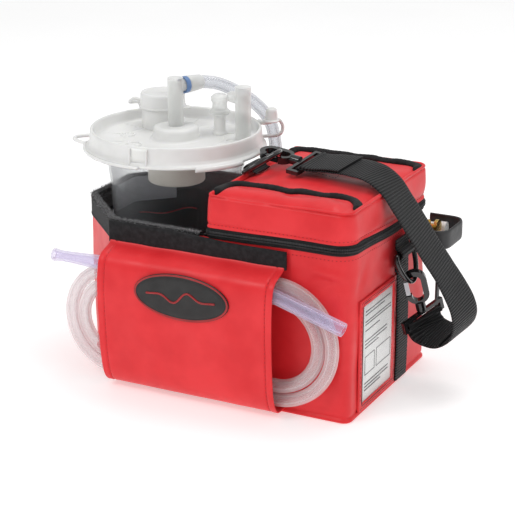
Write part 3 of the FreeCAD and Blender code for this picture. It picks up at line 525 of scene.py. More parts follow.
def stitch_row(name, line, normals, length, gap, mat, width=0.55):
    """Thread stitches lying on a surface along a line, as small rounded dashes."""
    total = sum((b - a).length for a, b in zip(line, line[1:]))
    count = max(1, int(total / (length + gap)))
    points = []
    faces = []
    for i in range(count):
        spots = []
        for end in (i * (length + gap), i * (length + gap) + length):
            f = min(0.9999, end / total) * (len(line) - 1)
            k = int(f)
            spots.append((line[k].lerp(line[k + 1], f - k), normals[k]))
        (a, up), (b, _) = spots
        way = (b - a).normalized()
        side = way.cross(up).normalized()
        base = len(points)
        for t, lift, wide in ((0, -0.1, 0.5), (0.25, 0.28, 1), (0.75, 0.28, 1), (1, -0.1, 0.5)):
            mid = a.lerp(b, t) + up * lift
            half = side * width * wide * 0.5
            points += [mid - half, mid + up * 0.18 * wide, mid + half]
        for s in range(3):
            q = base + 3 * s
            faces += [(q, q + 3, q + 4, q + 1), (q + 1, q + 4, q + 5, q + 2)]
        faces += [(base, base + 1, base + 2), (base + 9, base + 11, base + 10)]
    return mesh_object(name, points, faces, mat)


def block(name, points, radius, segments, mat):
    """A six-sided piece with rounded edges, from its eight corners."""
    faces = [(0, 1, 3, 2), (4, 6, 7, 5), (0, 4, 5, 1), (2, 3, 7, 6), (0, 2, 6, 4), (1, 5, 7, 3)]
    obj = mesh_object(name, points, faces, mat)
    add_modifier(obj, "BEVEL", width=radius * MM, segments=segments, limit_method="NONE")
    return apply_modifiers(obj)


def ribbon(name, line, sides, width, thick, mat, ripple=0.0):
    """Flat woven webbing with soft edges; UVs hold millimetres along and across."""
    cross = []
    half = width / 2
    for k in range(17):
        v = -half + width * k / 16
        cross.append((v, thick / 2 * (1 - 0.55 * (abs(v) / half) ** 8)))
    loop = cross + [(v, -z) for v, z in cross[::-1]]
    rows = []
    along = [0.0]
    for a, b in zip(line, line[1:]):
        along.append(along[-1] + (b - a).length)
    count = len(line)
    for i, p in enumerate(line):
        way = (line[min(i + 1, count - 1)] - line[max(i - 1, 0)]).normalized()
        side = sides[i]
        side = (side - way * side.dot(way)).normalized()
        up = side.cross(way)
        rows.append([p + side * v + up * (z + ripple * fbm(p + side * v, 18, 3.1)) for v, z in loop])
    obj = grid_object(name, rows, mat, True)
    mesh = obj.data
    layer = mesh.uv_layers.new(name="UVMap")
    columns = len(loop)
    for poly in mesh.polygons:
        for corner in poly.loop_indices:
            index = mesh.loops[corner].vertex_index
            layer.data[corner].uv = (along[index // columns], loop[index % columns][0])
    close_ends(obj, count, columns)
    return obj


def close_ends(obj, rows, columns):
    """Caps the two open ends of a grid whose columns wrap round."""
    made = bmesh.new()
    made.from_mesh(obj.data)
    made.verts.ensure_lookup_table()
    made.faces.new([made.verts[i] for i in range(columns)][::-1])
    made.faces.new([made.verts[(rows - 1) * columns + i] for i in range(columns)])
    made.to_mesh(obj.data)
    made.free()


# ------------------------------------------------------------------ case body

HALF_L, HALF_D, BACK_CUT, FRONT_CUT = 139.0, 85.0, 45.0, 57.0
LID_LEFT, SEAM_Z = 7.8, 147.05
CASE_CORNERS = [(HALF_L, -HALF_D), (HALF_L, HALF_D), (BACK_CUT - HALF_L, HALF_D),
                (-HALF_L, HALF_D - BACK_CUT), (-HALF_L, FRONT_CUT - HALF_D),
                (FRONT_CUT - HALF_L, -HALF_D)]
LID_CORNERS = [(LID_LEFT, -HALF_D), (HALF_L, -HALF_D), (HALF_L, HALF_D), (LID_LEFT, HALF_D)]
CASE_STITCH = (1.2, 2.3)


def seam_wave(x, y):
    """The zipper does not run dead straight: it climbs to the right corners and sags across the end."""
    along = clip((x - 30) / 70)
    end = clip((x - 105) / 34)
    return 2.0 * along * along * (3 - 2 * along) - 5.5 * end * bell(y, 12, 52) + 0.4 * math.sin(x / 24)


def case_corner_radii(z):
    """The sewn bottom corners are tight; the fabric opens into softer corners at the zipper."""
    soft = 7 + 12 * clip((z - 30) / 110) ** 1.5
    return [soft, soft, 16, 14, 18, 9]


def case_dent(p, n):
    """How far the fabric stands out from its flat panel at this place."""
    x, y, z = p
    rise = math.sin(math.pi * clip(z / 150))
    front = max(0.0, -n.y)
    back = max(0.0, n.y)
    end = max(0.0, n.x)
    cut = 1.0 - max(abs(n.x), abs(n.y))
    out = 0.8 * fbm(p, 48, 2.0) + 0.42 * fbm(p, 20, 5.0) - 0.55
    out += back * (2.6 * rise * bell(x, 20, 95) + 0.5 * fbm(p, 30, 9.0))
    out += max(0.0, -n.x) * 1.6 * rise + cut * 1.2 * rise
    out += front * 2.0 * bell(z + 0.12 * (x - 110), 128, 4) * bell(x, 121, 17)
    out -= front * 2.6 * bell(z - 0.35 * (x - 112), 117, 6) * bell(x, 111, 18)
    out -= front * 1.2 * bell(x - 0.25 * z, 112, 7) * bell(z, 30, 34)
    out -= end * 1.2 * bell(y + 0.6 * (z - 60), 60, 9) * bell(z, 62, 28)
    out -= end * 1.3 * bell(y - 0.8 * (z - 118), -62, 8) * bell(z, 118, 14)
    seam = 0.9 * bell(z, 1.6, 1.6) - 0.9 * bell(z, 4.6, 1.3)
    return max(-1.5, min(3.0, out * min(1.0, z / 10))) + seam


def case_rows():
    heights = [0.0, 0.5, 1.2, 2.0, 3.0, 3.8, 4.6, 5.4, 6.5, 8, 10]
    heights += [10 + 128 * k / 58 for k in range(1, 59)] + [139.5, 140.8, 141.8, 142.4, 142.8]
    rows = []
    for z in heights:
        points, normals = rounded_outline(CASE_CORNERS, case_corner_radii(z))
        row = []
        for p, n in zip(points, normals):
            lift = seam_wave(p.x, p.y) * max(0.0, (z - 110) / 34) ** 2 if p.x > LID_LEFT else 0.0
            at = Vector((p.x, p.y, z + lift))
            tuck = -0.5 if z in (0.0, 142.8) else 0.0
            row.append(at + n * (case_dent(at, n) + tuck))
        rows.append(row)
    return rows


def inset_row(corners, radii, inset, z):
    points, normals = rounded_outline(corners, radii)
    return [Vector((p.x, p.y, z)) - n * inset for p, n in zip(points, normals)]


def paint_rows(obj, per_row, rows):
    """The second material on the given rows of a grid that has per_row faces in a row."""
    for index, poly in enumerate(obj.data.polygons):
        poly.material_index = int(index // per_row in rows)


def build_case():
    """The red fabric shell with its inner lining, and the stitches under the zipper."""
    rows = case_rows()
    outer_count = len(rows)
    for z, inset in ((142.9, 1.2), (142.7, 2.4), (142.0, 3.0), (100, 3.0), (50, 3.0), (3.2, 3.0)):
        rows.append(inset_row(CASE_CORNERS, case_corner_radii(z), inset, z))
    obj = grid_object("case_body", rows, [RED, LINING], True)
    paint_rows(obj, AROUND, range(outer_count + 1, len(rows)))
    close_ends(obj, len(rows), AROUND)
    on_body(obj, "bag", "red_fabric", "bag_shell")
    strip = open_strip(CASE_CORNERS, case_corner_radii(138.6), lambda p: p.x > 40)
    line = []
    for p, n in strip:
        at = Vector((p.x, p.y, 138.6 + seam_wave(p.x, p.y) * 0.7))
        line.append(at + n * (case_dent(at, n) + 0.12))
    stitches = stitch_row("case_stitches", line, [n for _, n in strip], *CASE_STITCH, THREAD, 0.45)
    on_body(stitches, "bag", "red_fabric")


def open_strip(corners, radii, keep):
    """The part of an outline that keep(point) accepts, as one run of (point, normal)."""
    points, normals = rounded_outline(corners, radii)
    inside = [keep(p) for p in points]
    start = next(i for i in range(AROUND) if inside[i] and not inside[i - 1])
    out = []
    for k in range(AROUND):
        i = (start + k) % AROUND
        if not inside[i]:
            break
        out.append((points[i], normals[i]))
    return out


POCKET_RADII = [7, 7, 16, 14, 18, 9]


def build_pocket():
    """Brushed black lining of the canister pocket, with its patch and red seam."""
    strip = open_strip(CASE_CORNERS, POCKET_RADII, lambda p: p.x < 1.2)
    heights = [4.6] + [8 + 118 * k / 22 for k in range(23)] + [130, 136, 142, 145.6]
    rows = [[Vector((p.x, p.y, z)) - n * (4.7 + 0.45 * fbm((p.x, p.y, z), 27, 4.0)) for p, n in strip]
            for z in heights]
    lining = grid_object("pocket_lining_cloth", rows, LINING)
    floor = [[Vector((p.x * f, p.y * f, 4.8)) - n * 4.5 * f for p,
              n in strip] for f in (1, 0.66, 0.33, 0.02)]
    base = grid_object("pocket_floor", floor, LINING)
    wall = [[Vector((1.2, y, z)) for y in (-80, -40, 0, 40, 80)] for z in (4.6, 50, 100, 142)]
    side = grid_object("pocket_side", wall, LINING)
    cloth = joined("pocket_lining_cloth", [lining, base, side])
    add_modifier(cloth, "SOLIDIFY", thickness=0.8 * MM, offset=0)
    on_body(apply_modifiers(cloth), "bag", "black_lining", "pocket_lining")

    behind = open_strip(CASE_CORNERS, POCKET_RADII, lambda p: p.x < -108 and p.y > 2)
    rows = [[Vector((p.x, p.y, z)) - n * (6.3 + 0.3 * math.sin(i / 3)) for i, (p, n) in enumerate(behind)]
            for z in (121, 127, 133, 139, 144.5)]
    on_body(sheet("pocket_grey_patch", rows, PATCH_GREY, 0.6), "bag", "black_lining")
    behind = open_strip(CASE_CORNERS, POCKET_RADII, lambda p: p.x < -92 and p.y > 43)
    seam = [Vector((p.x, p.y, 108 + 1.6 * math.sin(i / 2.6))) - n * 5.4 for i, (p, n) in enumerate(behind)]
    on_body(bar("pocket_red_seam", seam, 0.6, RED_THREAD, 8), "bag", "red_fabric")


def band_surface(strip, stations, wobble, seed):
    """A strip of tape wrapped over the pocket's rim: stations are (height, distance out) pairs."""
    rows = []
    for z, out in stations:
        row = []
        for p, n in strip:
            at = Vector((p.x, p.y, z + wobble * fbm((p.x, p.y, 0), 40, seed)))
            row.append(at + n * (out + 0.12 * fbm((p.x, p.y, z), 6, seed)))
        rows.append(row)
    return rows


FIRST_FUZZY_ROW = 7


def build_rim_band():
    """Hook tape over the pocket's rim: plain outside, fuzzy from the top edge inwards."""
    strip = open_strip(CASE_CORNERS, POCKET_RADII, lambda p: p.x < 3.0)
    stations = [(126.9, 0.1), (126.9, 1.1), (127.4, 1.4), (131, 1.35), (136, 1.3), (141, 1.35), (144.8, 1.3),
                (146.0, 0.9), (146.5, -0.2), (146.6, -1.6), (146.3, -3.2), (145.2, -4.4), (143.0, -5.2),
                (138.0, -5.7), (132.0, -5.8), (128.6, -5.8), (128.0, -5.4), (128.0, -4.6)]
    rows = band_surface(strip, stations, 0.35, 1.0)
    band = grid_object("rim_hook_tape", rows, [BAND, FUZZ])
    spans = len(strip) - 1
    paint_rows(band, spans, range(FIRST_FUZZY_ROW, len(rows)))
    on_body(band, "bag", "hook_and_loop", "pocket_rim_band")
    fluff(band, spans)
    for out, z, name in ((1.45, 129.0, "low"), (1.4, 144.0, "high")):
        line = [Vector((p.x, p.y, z + 0.35 * fbm((p.x, p.y, 0), 40, 1.0))) + n * out for p, n in strip]
        on_body(stitch_row("rim_stitches_" + name, line, [n for _, n in strip], 1.9, 1.3, BLACK_THREAD),
                "bag", "hook_and_loop")


def fluff(band, per_row):
    """Short loops of pile standing up along the rim, as fine curled fibres."""
    rng = np.random.default_rng(11)
    points = []
    faces = []
    mesh = band.data
    for index, poly in enumerate(mesh.polygons):
        row = index // per_row
        if row < FIRST_FUZZY_ROW - 1 or row > FIRST_FUZZY_ROW + 5:
            continue
        centre = poly.center / MM
        normal = poly.normal
        if normal.z < -0.2:
            normal = -normal
        for _ in range(5):
            spot = centre + Vector(rng.normal(0, 1.1, 3))
            spot -= normal * (spot - centre).dot(normal)
            lean = Vector(rng.normal(0, 0.5, 3))
            base = len(points)
            tip = spot + (normal * 1.1 + lean * 0.9)
            side = normal.cross(lean).normalized() * 0.11
            points += [spot - side, spot + side, tip + side * 0.6, tip - side * 0.6]
            faces.append((base, base + 1, base + 2, base + 3))
    on_body(mesh_object("rim_pile", points, faces, LOOP_GREY, False), "bag", "hook_and_loop")


def build_divider():
    """Padded black wall between the canister pocket and the main compartment."""
    rows = []
    for k in range(41):
        z = 3.2 + 139.6 * k / 40
        bulge = [0.35 * fbm((0, -80 + 160 * j / 30, z), 30, 3) - 0.5 * math.sin(math.pi * j / 30)
                 for j in range(31)]
        rows.append([Vector((3.3 + out, -81.6 + 163.2 * j / 30, z)) for j, out in enumerate(bulge)])
    edge = ((0.4, 1.0), (1.5, 1.4), (2.6, 1.0), (3.0, 0))
    top = [[p + Vector((dx, 0, dz)) for p in rows[-1]] for dx, dz in edge]
    far = [[Vector((6.2, p.y, p.z)) for p in row] for row in rows[::-1]]
    wall = grid_object("divider_panel", rows + top + far, LINING)
    on_body(wall, "bag", "black_lining", "divider_wall")


# ------------------------------------------------------------------ lid


def lid_radii(z):
    soft = 17 - 6 * clip((z - 150) / 30)
    return [5, soft, soft, 5]


FRONT_PIPING = [(12.5, -77), (10.8, -60), (13.5, -48), (24, -43.5), (40, -42.5), (56, -42.8), (70, -42.4),
                (82, -41.4), (95, -42.4), (110, -41.5), (121, -43.5), (128.5, -50), (132.2, -57),
                (133.8, -64)]
BACK_PIPING = [(11.5, 66), (12.5, 74), (18, 80), (34, 81), (56, 80.6), (80, 81.3), (104, 80.6), (118, 80),
               (128, 76.5), (132.4, 71), (133.8, 63)]
PIPING = [smooth_line([(x, y, 0) for x, y in points], 110) for points in (FRONT_PIPING, BACK_PIPING)]


def near_piping(x, y):
    """Distance to the nearest piping cord, in plan."""
    spot = Vector((x, y, 0))
    return min((p - spot).length for line in PIPING for p in line[::3])


def lid_top_height(x, y):
    """Pillowed top: a full front strip, a taut middle panel and shallow valleys along the piping."""
    strip = bell(y, -66, 15) * clip((127 - x) / 9) * clip((x - 9) / 6)
    middle = bell(y, 15, 52) * clip((139 - x) / 16) * clip((x - 8) / 10)
    high = 178.2 + 3.4 * strip + 2.6 * middle
    high += 0.9 * fbm((x, y, 0), 30, 8.0) * min(1.0, 2 * (strip + middle))
    high += 1.3 * strip * math.sin(x / 7.0 + y / 9) * bell(y, -54, 8) * (0.6 + 0.8 * fbm((x, 0, 0), 25, 3.0))
    high += 0.7 * bell(x - 0.35 * (y + 60), 104, 6) * bell(y, -62, 12)
    high -= 1.9 * bell(x + 0.5 * (y + 60), 72, 6) * bell(y, -54, 9)
    high -= 2.2 * bell(y - 0.25 * x, -8, 9) * bell(x, 112, 26)
    high += 1.2 * bell(y - 0.25 * x, 14, 10) * bell(x, 112, 30)
    return high - 1.3 * bell(near_piping(x, y), 0, 4.5)


def lid_side_out(p, n):
    _, y, z = p
    mid = math.sin(math.pi * clip((z - 148) / 34))
    out = 0.7 * mid + 0.5 * fbm(p, 30, 6.0) * mid + 0.25 * fbm(p, 13, 3.0)
    out -= 0.9 * bell(z - 0.25 * abs(y), 138, 4) * max(0.0, n.x)
    out -= (1.5 * max(0.0, -n.y) + 0.9 * max(0.0, n.x)) * bell(z, 177.9, 0.7)
    out += 0.5 * max(0.0, -n.y) * bell(z, 180.5, 1.6)
    return out - 0.9 * bell(z, 154.5, 1.3) + 0.25 * bell(z, 152, 1.5)


def lid_lean(p):
    """The front and end faces lean in a little towards the top."""
    return max(0.0, (p[2] - 156) / 24) * 1.5


def build_lid():
    """One closed skin: outer sides, the rolled lip, the pillowed top and the lining inside."""
    rows = []
    heights = [151.6, 151.9, 152.4, 153.0, 153.8, 154.6, 155.5,
               157] + [157 + 20 * k / 14 for k in range(1, 15)]
    heights += [177.5, 178.0, 178.5, 179.1, 180.0]
    for z in heights:
        points, normals = rounded_outline(LID_CORNERS, lid_radii(z))
        row = []
        for p, n in zip(points, normals):
            lift = seam_wave(p.x, p.y) * max(0.0, 1 - (z - 150) / 22)
            droop = 2.2 * bell(p.x, 44, 40) * max(0.0, -n.y) * max(0.0, (z - 165) / 15)
            lip = (0.5 * fbm((p.x, p.y, 0), 24, 2.0) if z > 178 else 0.0) - droop
            at = Vector((p.x, p.y, z + lift + lip))
            row.append(at + n * (lid_side_out(at, n) - lid_lean(at)))
        rows.append(row)
    rim = rows[-1]
    _, normals = rounded_outline(LID_CORNERS, lid_radii(180))
    lip_steps = [(0.5, 0.5), (1.3, 0.7), (2.2, 0.4), (2.9, -0.7), (3.2, -2.2), (3.6, -3.2)]
    for inward, rise in lip_steps:
        rows.append([q - n * inward + Vector((0, 0, rise)) for q, n in zip(rim, normals)])
    edge = rows[-1]
    centre = Vector((74.0, 0.0, 0.0))
    for k in range(1, 61):
        t = k / 60
        row = []
        for q in edge:
            x = q.x + (centre.x - q.x) * t * 0.9995
            y = q.y + (centre.y - q.y) * t * 0.9995
            reach = (Vector((x, y, 0)) - Vector((q.x, q.y, 0))).length
            blend = 1 - math.exp(-(reach / 4.0) ** 1.2)
            row.append(Vector((x, y, q.z + (lid_top_height(x, y) - q.z) * blend)))
        rows.append(row)
    outer_count = len(rows)
    for scale, z in ((0.0005, 173.6), (0.5, 173.6), (1.0, 173.2)):
        rows.append([Vector((74 + (p.x - 74) * scale, p.y * scale, z)) for p in
                     inset_row(LID_CORNERS, lid_radii(170), 4.8, z)])
    for z, inset in ((168, 4.4), (159, 3.6), (152.0, 2.6)):
        rows.append(inset_row(LID_CORNERS, lid_radii(z), inset, z))
    obj = grid_object("lid_cover", rows, [RED, LINING], True, True)
    paint_rows(obj, AROUND, range(outer_count - 1, len(rows) - 1))
    on_body(obj, "lid", "red_fabric", "bag_lid")
    stitch_lid()


def stitch_lid():
    points, normals = rounded_outline(LID_CORNERS, lid_radii(154))
    line = [Vector((p.x, p.y, 154.6 + seam_wave(p.x, p.y) * 0.8)) for p in points]
    line = [p + n * (lid_side_out(p, n) + 0.12) for p, n in zip(line, normals)]
    on_body(stitch_row("lid_stitches_low", line, normals, *CASE_STITCH, THREAD, 0.45), "lid", "red_fabric")


def build_piping():
    """Black bound seams on the lid: a fat wavy fold of tape."""
    pieces = []
    for index, line in enumerate(PIPING):
        rows = []
        lifted = [Vector((p.x, p.y, lid_top_height(p.x, p.y))) for p in line]
        for i, (p, _, side, _) in enumerate(frames_along(lifted)):
            swell = 1 + 0.13 * fbm(p, 9, 12.0 + index) + 0.08 * math.sin(i / 3.1)
            sway = 0.7 * fbm(p, 16, 4.0 + index)
            tall = 4.9 * swell
            end = min(1.0, 0.25 + i / 3, 0.25 + (len(lifted) - 1 - i) / 3)
            row = []
            for k in range(18):
                a = 2 * math.pi * k / 18
                across = 3.9 * math.cos(a) * (1 - 0.18 * math.sin(a)) * end
                high = (tall * 0.5 * math.sin(a) + tall * 0.32) * end
                row.append(p + side * (across + sway) + Vector((0, 0, high)))
            rows.append(row)
        piece = grid_object("piping_%d" % index, rows, BINDING, True)
        close_ends(piece, len(rows), 18)
        pieces.append(piece)
    on_body(joined("lid_piping_tape", pieces), "lid", "webbing", "lid_piping")


# ------------------------------------------------------------------ zipper


def zipper_strip(name, body, node_name, sign):
    """One half of the zipper: tape, its folded edge and one row of coil teeth."""
    points, normals = rounded_outline(LID_CORNERS, lid_radii(147))
    profile = [(0.10, -4.2), (0.10, 0.6), (0.5, 1.25), (1.1, 1.5), (1.7, 1.15), (2.1, 0.75), (3.2, 0.8),
               (4.3, 0.65), (4.9, -0.2), (5.0, -3.0)]
    seam = [Vector((p.x, p.y, SEAM_Z + seam_wave(p.x, p.y))) for p in points]
    rows = [[p + n * (out - 0.35) + Vector((0, 0, sign * dz)) for p, n in zip(seam, normals)]
            for dz, out in profile]
    if sign < 0:
        rows = rows[::-1]
    tape = grid_object(name, rows, TAPE, True)
    teeth_line = resampled([p + n * 0.95 for p, n in zip(seam, normals)], 430, True)
    teeth = zipper_teeth(name + "_teeth", teeth_line, sign)
    on_body(joined(name, [tape, teeth]), body, "zipper", node_name)


def zipper_teeth(name, line, sign):
    """Coil teeth: small blocks that stand out from the seam, one side of it."""
    verts = []
    faces = []
    count = len(line)
    for i, p in enumerate(line):
        way = (line[(i + 1) % count] - line[i - 1]).normalized()
        out = Vector((way.y, -way.x, 0)).normalized()
        base = len(verts)
        for dz, lift, half in ((0.12, 0.0, 0.34), (0.35, 0.62, 0.42), (1.3, 0.72, 0.42), (1.95, 0.1, 0.34)):
            verts += [p + way * along + out * reach + Vector((0, 0, sign * dz))
                      for reach in (lift, lift - 0.7) for along in (-half, half)]
        for k in range(3):
            a = base + 4 * k
            b = a + 4
            faces += [(a, a + 1, b + 1, b), (a, b, b + 2, a + 2), (a + 1, a + 3, b + 3, b + 1)]
        faces += [(base, base + 2, base + 3, base + 1), (base + 12, base + 13, base + 15, base + 14)]
    return mesh_object(name, verts, faces, TEETH, False)


# ------------------------------------------------------------------ front flap and badge

FLAP_LEFT, FLAP_RIGHT = -82.0, 82.0
FLAP_PROFILE = [(-86.7, 4.1), (-93, 3.9), (-99.5, 5.0), (-104.9, 10.5), (-108.6, 19), (-110.9, 30),
                (-111.8, 42), (-112.2, 60), (-112.3, 80), (-112.2, 100), (-111.2, 111), (-109.5, 117),
                (-106, 121), (-101, 123.4), (-95.5, 125.2), (-91, 127.2), (-88.9, 130), (-88.4, 136)]
FLAP_SIDE = smooth_line([(0, y, z) for y, z in FLAP_PROFILE], 90)
HEM = 6.5


def flap_point(x, k, depth):
    """A point of the flap: x across, k along its side profile, depth into the sheet."""
    p = FLAP_SIDE[k]
    before = FLAP_SIDE[max(0, k - 1)]
    after = FLAP_SIDE[min(len(FLAP_SIDE) - 1, k + 1)]
    way = (after - before).normalized()
    out = Vector((0, -way.z, way.y))
    share = k / (len(FLAP_SIDE) - 1)
    loose = math.sin(math.pi * share)
    edge = min(x - FLAP_LEFT, FLAP_RIGHT - x)
    lift = 1.5 * loose * fbm((x, 0, p.z), 42, 3.0) + 0.6 * loose * fbm((x, 0, p.z), 17, 6.0)
    lift += 0.6 * math.exp(-max(0.0, edge - HEM) / 2.0) * (1 if edge > HEM else 0.0)
    lift += (0.55 if edge <= HEM - 0.6 else 0.0) - 0.7 * bell(edge, HEM, 1.1)
    lift -= 0.4 * math.exp(-max(0.0, edge) / 9.0) * loose
    lift += 0.5 * bell(x + 0.7 * (p.z - 112), -58, 12) * bell(p.z, 108, 14)
    held = min(1.0, share * 8, (1 - share) * 7)
    return Vector((x + 0.5 * loose * math.sin(p.z / 16), p.y, p.z)) + out * (lift * held - depth)


def across_stations():
    wide = FLAP_RIGHT - FLAP_LEFT
    fine = [0, 0.4, 1.2, 2.5, 4, 5.2, 5.9, 6.4, 7.0, 7.8, 9]
    middle = [9 + (wide - 18) * k / 72 for k in range(1, 72)]
    return [FLAP_LEFT + s for s in fine + middle + [wide - f for f in fine[::-1]]]


def soft_ends(face, other):
    """One face of the sheet, its two end points drawn in towards the other face."""
    return [face[0].lerp(other[0], 0.18), *face[1:-1], face[-1].lerp(other[-1], 0.18)]


def build_flap():
    """The hemmed front flap as a thin closed sheet, with a row of stitches down each hem."""
    stations = across_stations()
    rows = []
    count = len(FLAP_SIDE)
    for k in range(count):
        front = [flap_point(x, k, 0.0) for x in stations]
        back = [flap_point(x, k, 1.4) for x in stations[::-1]]
        rows.append(soft_ends(front, back[::-1]) + soft_ends(back, front[::-1]))
    flap = grid_object("front_flap_cloth", rows, RED, True)
    close_ends(flap, count, len(rows[0]))
    on_body(flap, "flap", "red_fabric", "front_flap")
    for name, x in (("left", FLAP_LEFT + HEM), ("right", FLAP_RIGHT - HEM)):
        line = [flap_point(x, k, -0.15) for k in range(3, count - 9)]
        ups = [(flap_point(x, k, -1) - flap_point(x, k, 0)).normalized() for k in range(3, count - 9)]
        stitches = stitch_row("flap_stitches_" + name, line, ups, 2.2, 1.6, FLAP_THREAD, 0.5)
        on_body(stitches, "flap", "red_fabric")


def build_flap_band():
    """Hook tape sewn over the flap's top edge; its upper edge runs down a little to the right."""
    stations = [-83.5, -83.1, -82.4] + [-81.5 + 162.5 * k / 80 for k in range(81)] + [82.2, 83.0, 83.4]
    rows = []
    for x in stations:
        top = 145.9 - 3.4 * clip((x + 30) / 60) + 0.35 * fbm((x, 0, 0), 19, 2.0)
        low = 126.6 + 0.4 * fbm((x, 0, 9), 23, 5.0)
        end = min(x + 83.5, 83.4 - x)
        pinch = 0.5 * math.exp(-end / 0.5)
        out = 0.35 * fbm((x, 3, 0), 25, 1.0) - pinch
        loop = [(-86.9, low + 0.4), (-88.7 - out, low), (-89.5 - out, low + 0.7), (-89.55 - out, low + 5),
                (-89.4 - out, (low + top) / 2), (-89.45 - out, top - 4), (-89.3 - out, top - 0.7),
                (-88.6 - out, top - 0.05), (-87.2, top - 0.3), (-86.9, top - 2), (-86.9, (low + top) / 2)]
        rows.append([Vector((x, y, z)) for y, z in loop])
    band = grid_object("flap_hook_tape", rows, BAND, True)
    close_ends(band, len(rows), 11)
    on_body(band, "flap", "hook_and_loop", "flap_hook_band")


OVAL_POINTS = 120


def ellipse_ring(cx, cz, a, b, y):
    return [Vector((cx + a * math.cos(t), y, cz + b * math.sin(t)))
            for t in (2 * math.pi * k / OVAL_POINTS for k in range(OVAL_POINTS))]


def build_badge():
    """Plain oval moulded badge: domed black field, raised red rim line and a simple wave line."""
    cx, cz, back = -1.0, 97.0, -112.0
    steps = [(44.5, 0.0), (44.5, 1.0), (44.2, 1.5), (43.6, 1.75), (43.0, 1.75), (42.5, 1.45), (42.2, 1.2),
             (41.6, 1.2), (41.2, 1.5), (40.6, 1.7), (38, 1.75), (30, 1.8), (20, 1.85), (10, 1.9), (0.5, 1.9)]
    rows = []
    for a, out in steps:
        minor = a - 24.5 if a > 30 else a * 0.18
        rows.append(ellipse_ring(cx, cz, a, minor, back - out - 0.3))
    badge = grid_object("oval_badge", rows, [BADGE_RUBBER, BADGE_RED], True)
    paint_rows(badge, OVAL_POINTS, (2, 3, 4))
    on_body(badge, "flap", "badge_rubber", "badge")
    wave = smooth_line([(cx + x, back - 2.2, cz + 6 * math.sin(x / 5.2) * bell(x, 0, 17))
                        for x in range(-32, 33, 2)], 120)
    on_body(bar("badge_wave", wave, 0.9, BADGE_RED, 10), "flap", "badge_rubber")


# ------------------------------------------------------------------ tubing

TUBE_R, TUBE_IN = 5.75, 3.9
REAR_Y, FRONT_Y = -91.05, -102.85
LEFT_TIP = Vector((-80, FRONT_Y, 112))
RIGHT_TIP = Vector((73.5, FRONT_Y, 110.5))
RIGHT_TIP_WAY = Vector((66.5, 0, -20)).normalized()


def hermite(a, a_way, b, b_way, steps):
    a, b = Vector(a), Vector(b)
    reach = (b - a).length
    va, vb = Vector(a_way).normalized() * reach, Vector(b_way).normalized() * reach
    out = []
    for k in range(steps):
        t = k / steps
        out.append(a * (2 * t ** 3 - 3 * t * t + 1) + va * (t ** 3 - 2 * t * t + t)
                   + b * (3 * t * t - 2 * t ** 3) + vb * (t ** 3 - t * t))
    return out


def coil_line():
    """The tubing's centre line: in from the left tip, four half turns inwards, out to the right tip."""
    radii = (51.0, 44.8, 38.6, 32.4)
    here = Vector((-32, REAR_Y, 115))
    line = hermite(LEFT_TIP, (1, 0, 0), here, (1, 0, 0), 30)
    for turn, radius in enumerate(radii):
        outward = 1 if turn % 2 == 0 else -1
        x = 75.5 if outward > 0 else -77
        line += [here.lerp(Vector((x, REAR_Y, here.z)), k / 24) for k in range(24)]
        middle = here.z - outward * radius
        for k in range(48):
            a = math.pi * k / 48
            reach = outward * radius
            line.append(Vector((x + reach * math.sin(a), REAR_Y, middle + reach * math.cos(a))))
        here = Vector((x, REAR_Y, middle - outward * radius))
    line += hermite(here, (1, 0, 0), RIGHT_TIP, RIGHT_TIP_WAY, 40)
    line.append(RIGHT_TIP)
    return resampled(line, 560)


def build_tubing():
    line = coil_line()
    tube = pipe("tube_coil", line, TUBE_R, TUBE_IN, CLEAR_TUBE, 26)
    on_body(tube, "bag", "clear_tube", "suction_tubing")
    right = tip("right_tip", RIGHT_TIP, RIGHT_TIP_WAY, [(0.1, 6), (2, 6), (6, 6), (20, 6), (40, 6), (60, 6),
                                                        (69.5, 6), (70.6, 5.9), (71, 5.6)])
    left = tip("left_tip", LEFT_TIP, Vector((-1, 0, 0)),
               [(0.1, 6), (2, 6), (8, 5.9), (19, 5.5), (31, 4.9), (41, 4.6), (46, 4.9), (49.3, 5.5),
                (50.6, 5.3), (51, 4.7)])
    on_body(joined("tube_tip_sleeves", [right, left]), "bag", "clear_tube", "tube_tips")


def tip(name, start, way, steps):
    """A hollow sleeve with a 2 mm wall; steps are (distance, outside radius) pairs."""
    outside = []
    inside = []
    frames = frames_along([start + way * s for s, _ in steps])
    for (p, _, side, up), (_, radius) in zip(frames, steps):
        outside.append(ring(p, side, up, radius, 32))
        inside.append(ring(p, side, up, radius - 2.0, 32))
    return grid_object(name, outside + inside[::-1], CLEAR_TIP, True, True)


# ------------------------------------------------------------------ strap, tabs and end wall


def hook_frame(nose, run, across):
    way = Vector(run).normalized()
    side = Vector(across)
    side = (side - way * side.dot(way)).normalized()
    return Vector(nose), way, side, way.cross(side)


LEFT_HOOK = hook_frame((8.2, 17, 191.8), (56, -6, -5.2), (0, 1, 0.12))
RIGHT_HOOK = hook_frame((152.3, 15.2, 105), (6, 11.5, -42), (0.4, 0.92, 0))
STRAP_MIDDLE = [(66, 9.8, 189.3), (84, 8, 191.2), (106, 4, 192.2), (124, -1, 190.5), (139, -4, 182.5),
                (150, -4, 168.5), (161, -2, 151.5), (172.5, 2, 131.5), (184.2, 6, 112.6), (194.5, 10, 93.5),
                (199.8, 13, 79), (200.3, 16, 66), (195, 19, 54.5), (184, 22, 47.5), (171.2, 25, 47),
                (163.5, 27, 49.6)]
BAR_AT = 49.5
LAYER = 2.0
BAR_TURN = 2.8


def turned_end(centre, main_side, outward, turn_from, turn_to):
    """The half turn of webbing round a buckle bar."""
    turns = [turn_from + (turn_to - turn_from) * k / 8 for k in range(9)]
    return [centre + (main_side * math.cos(a) + outward * math.sin(a)) * BAR_TURN for a in turns]


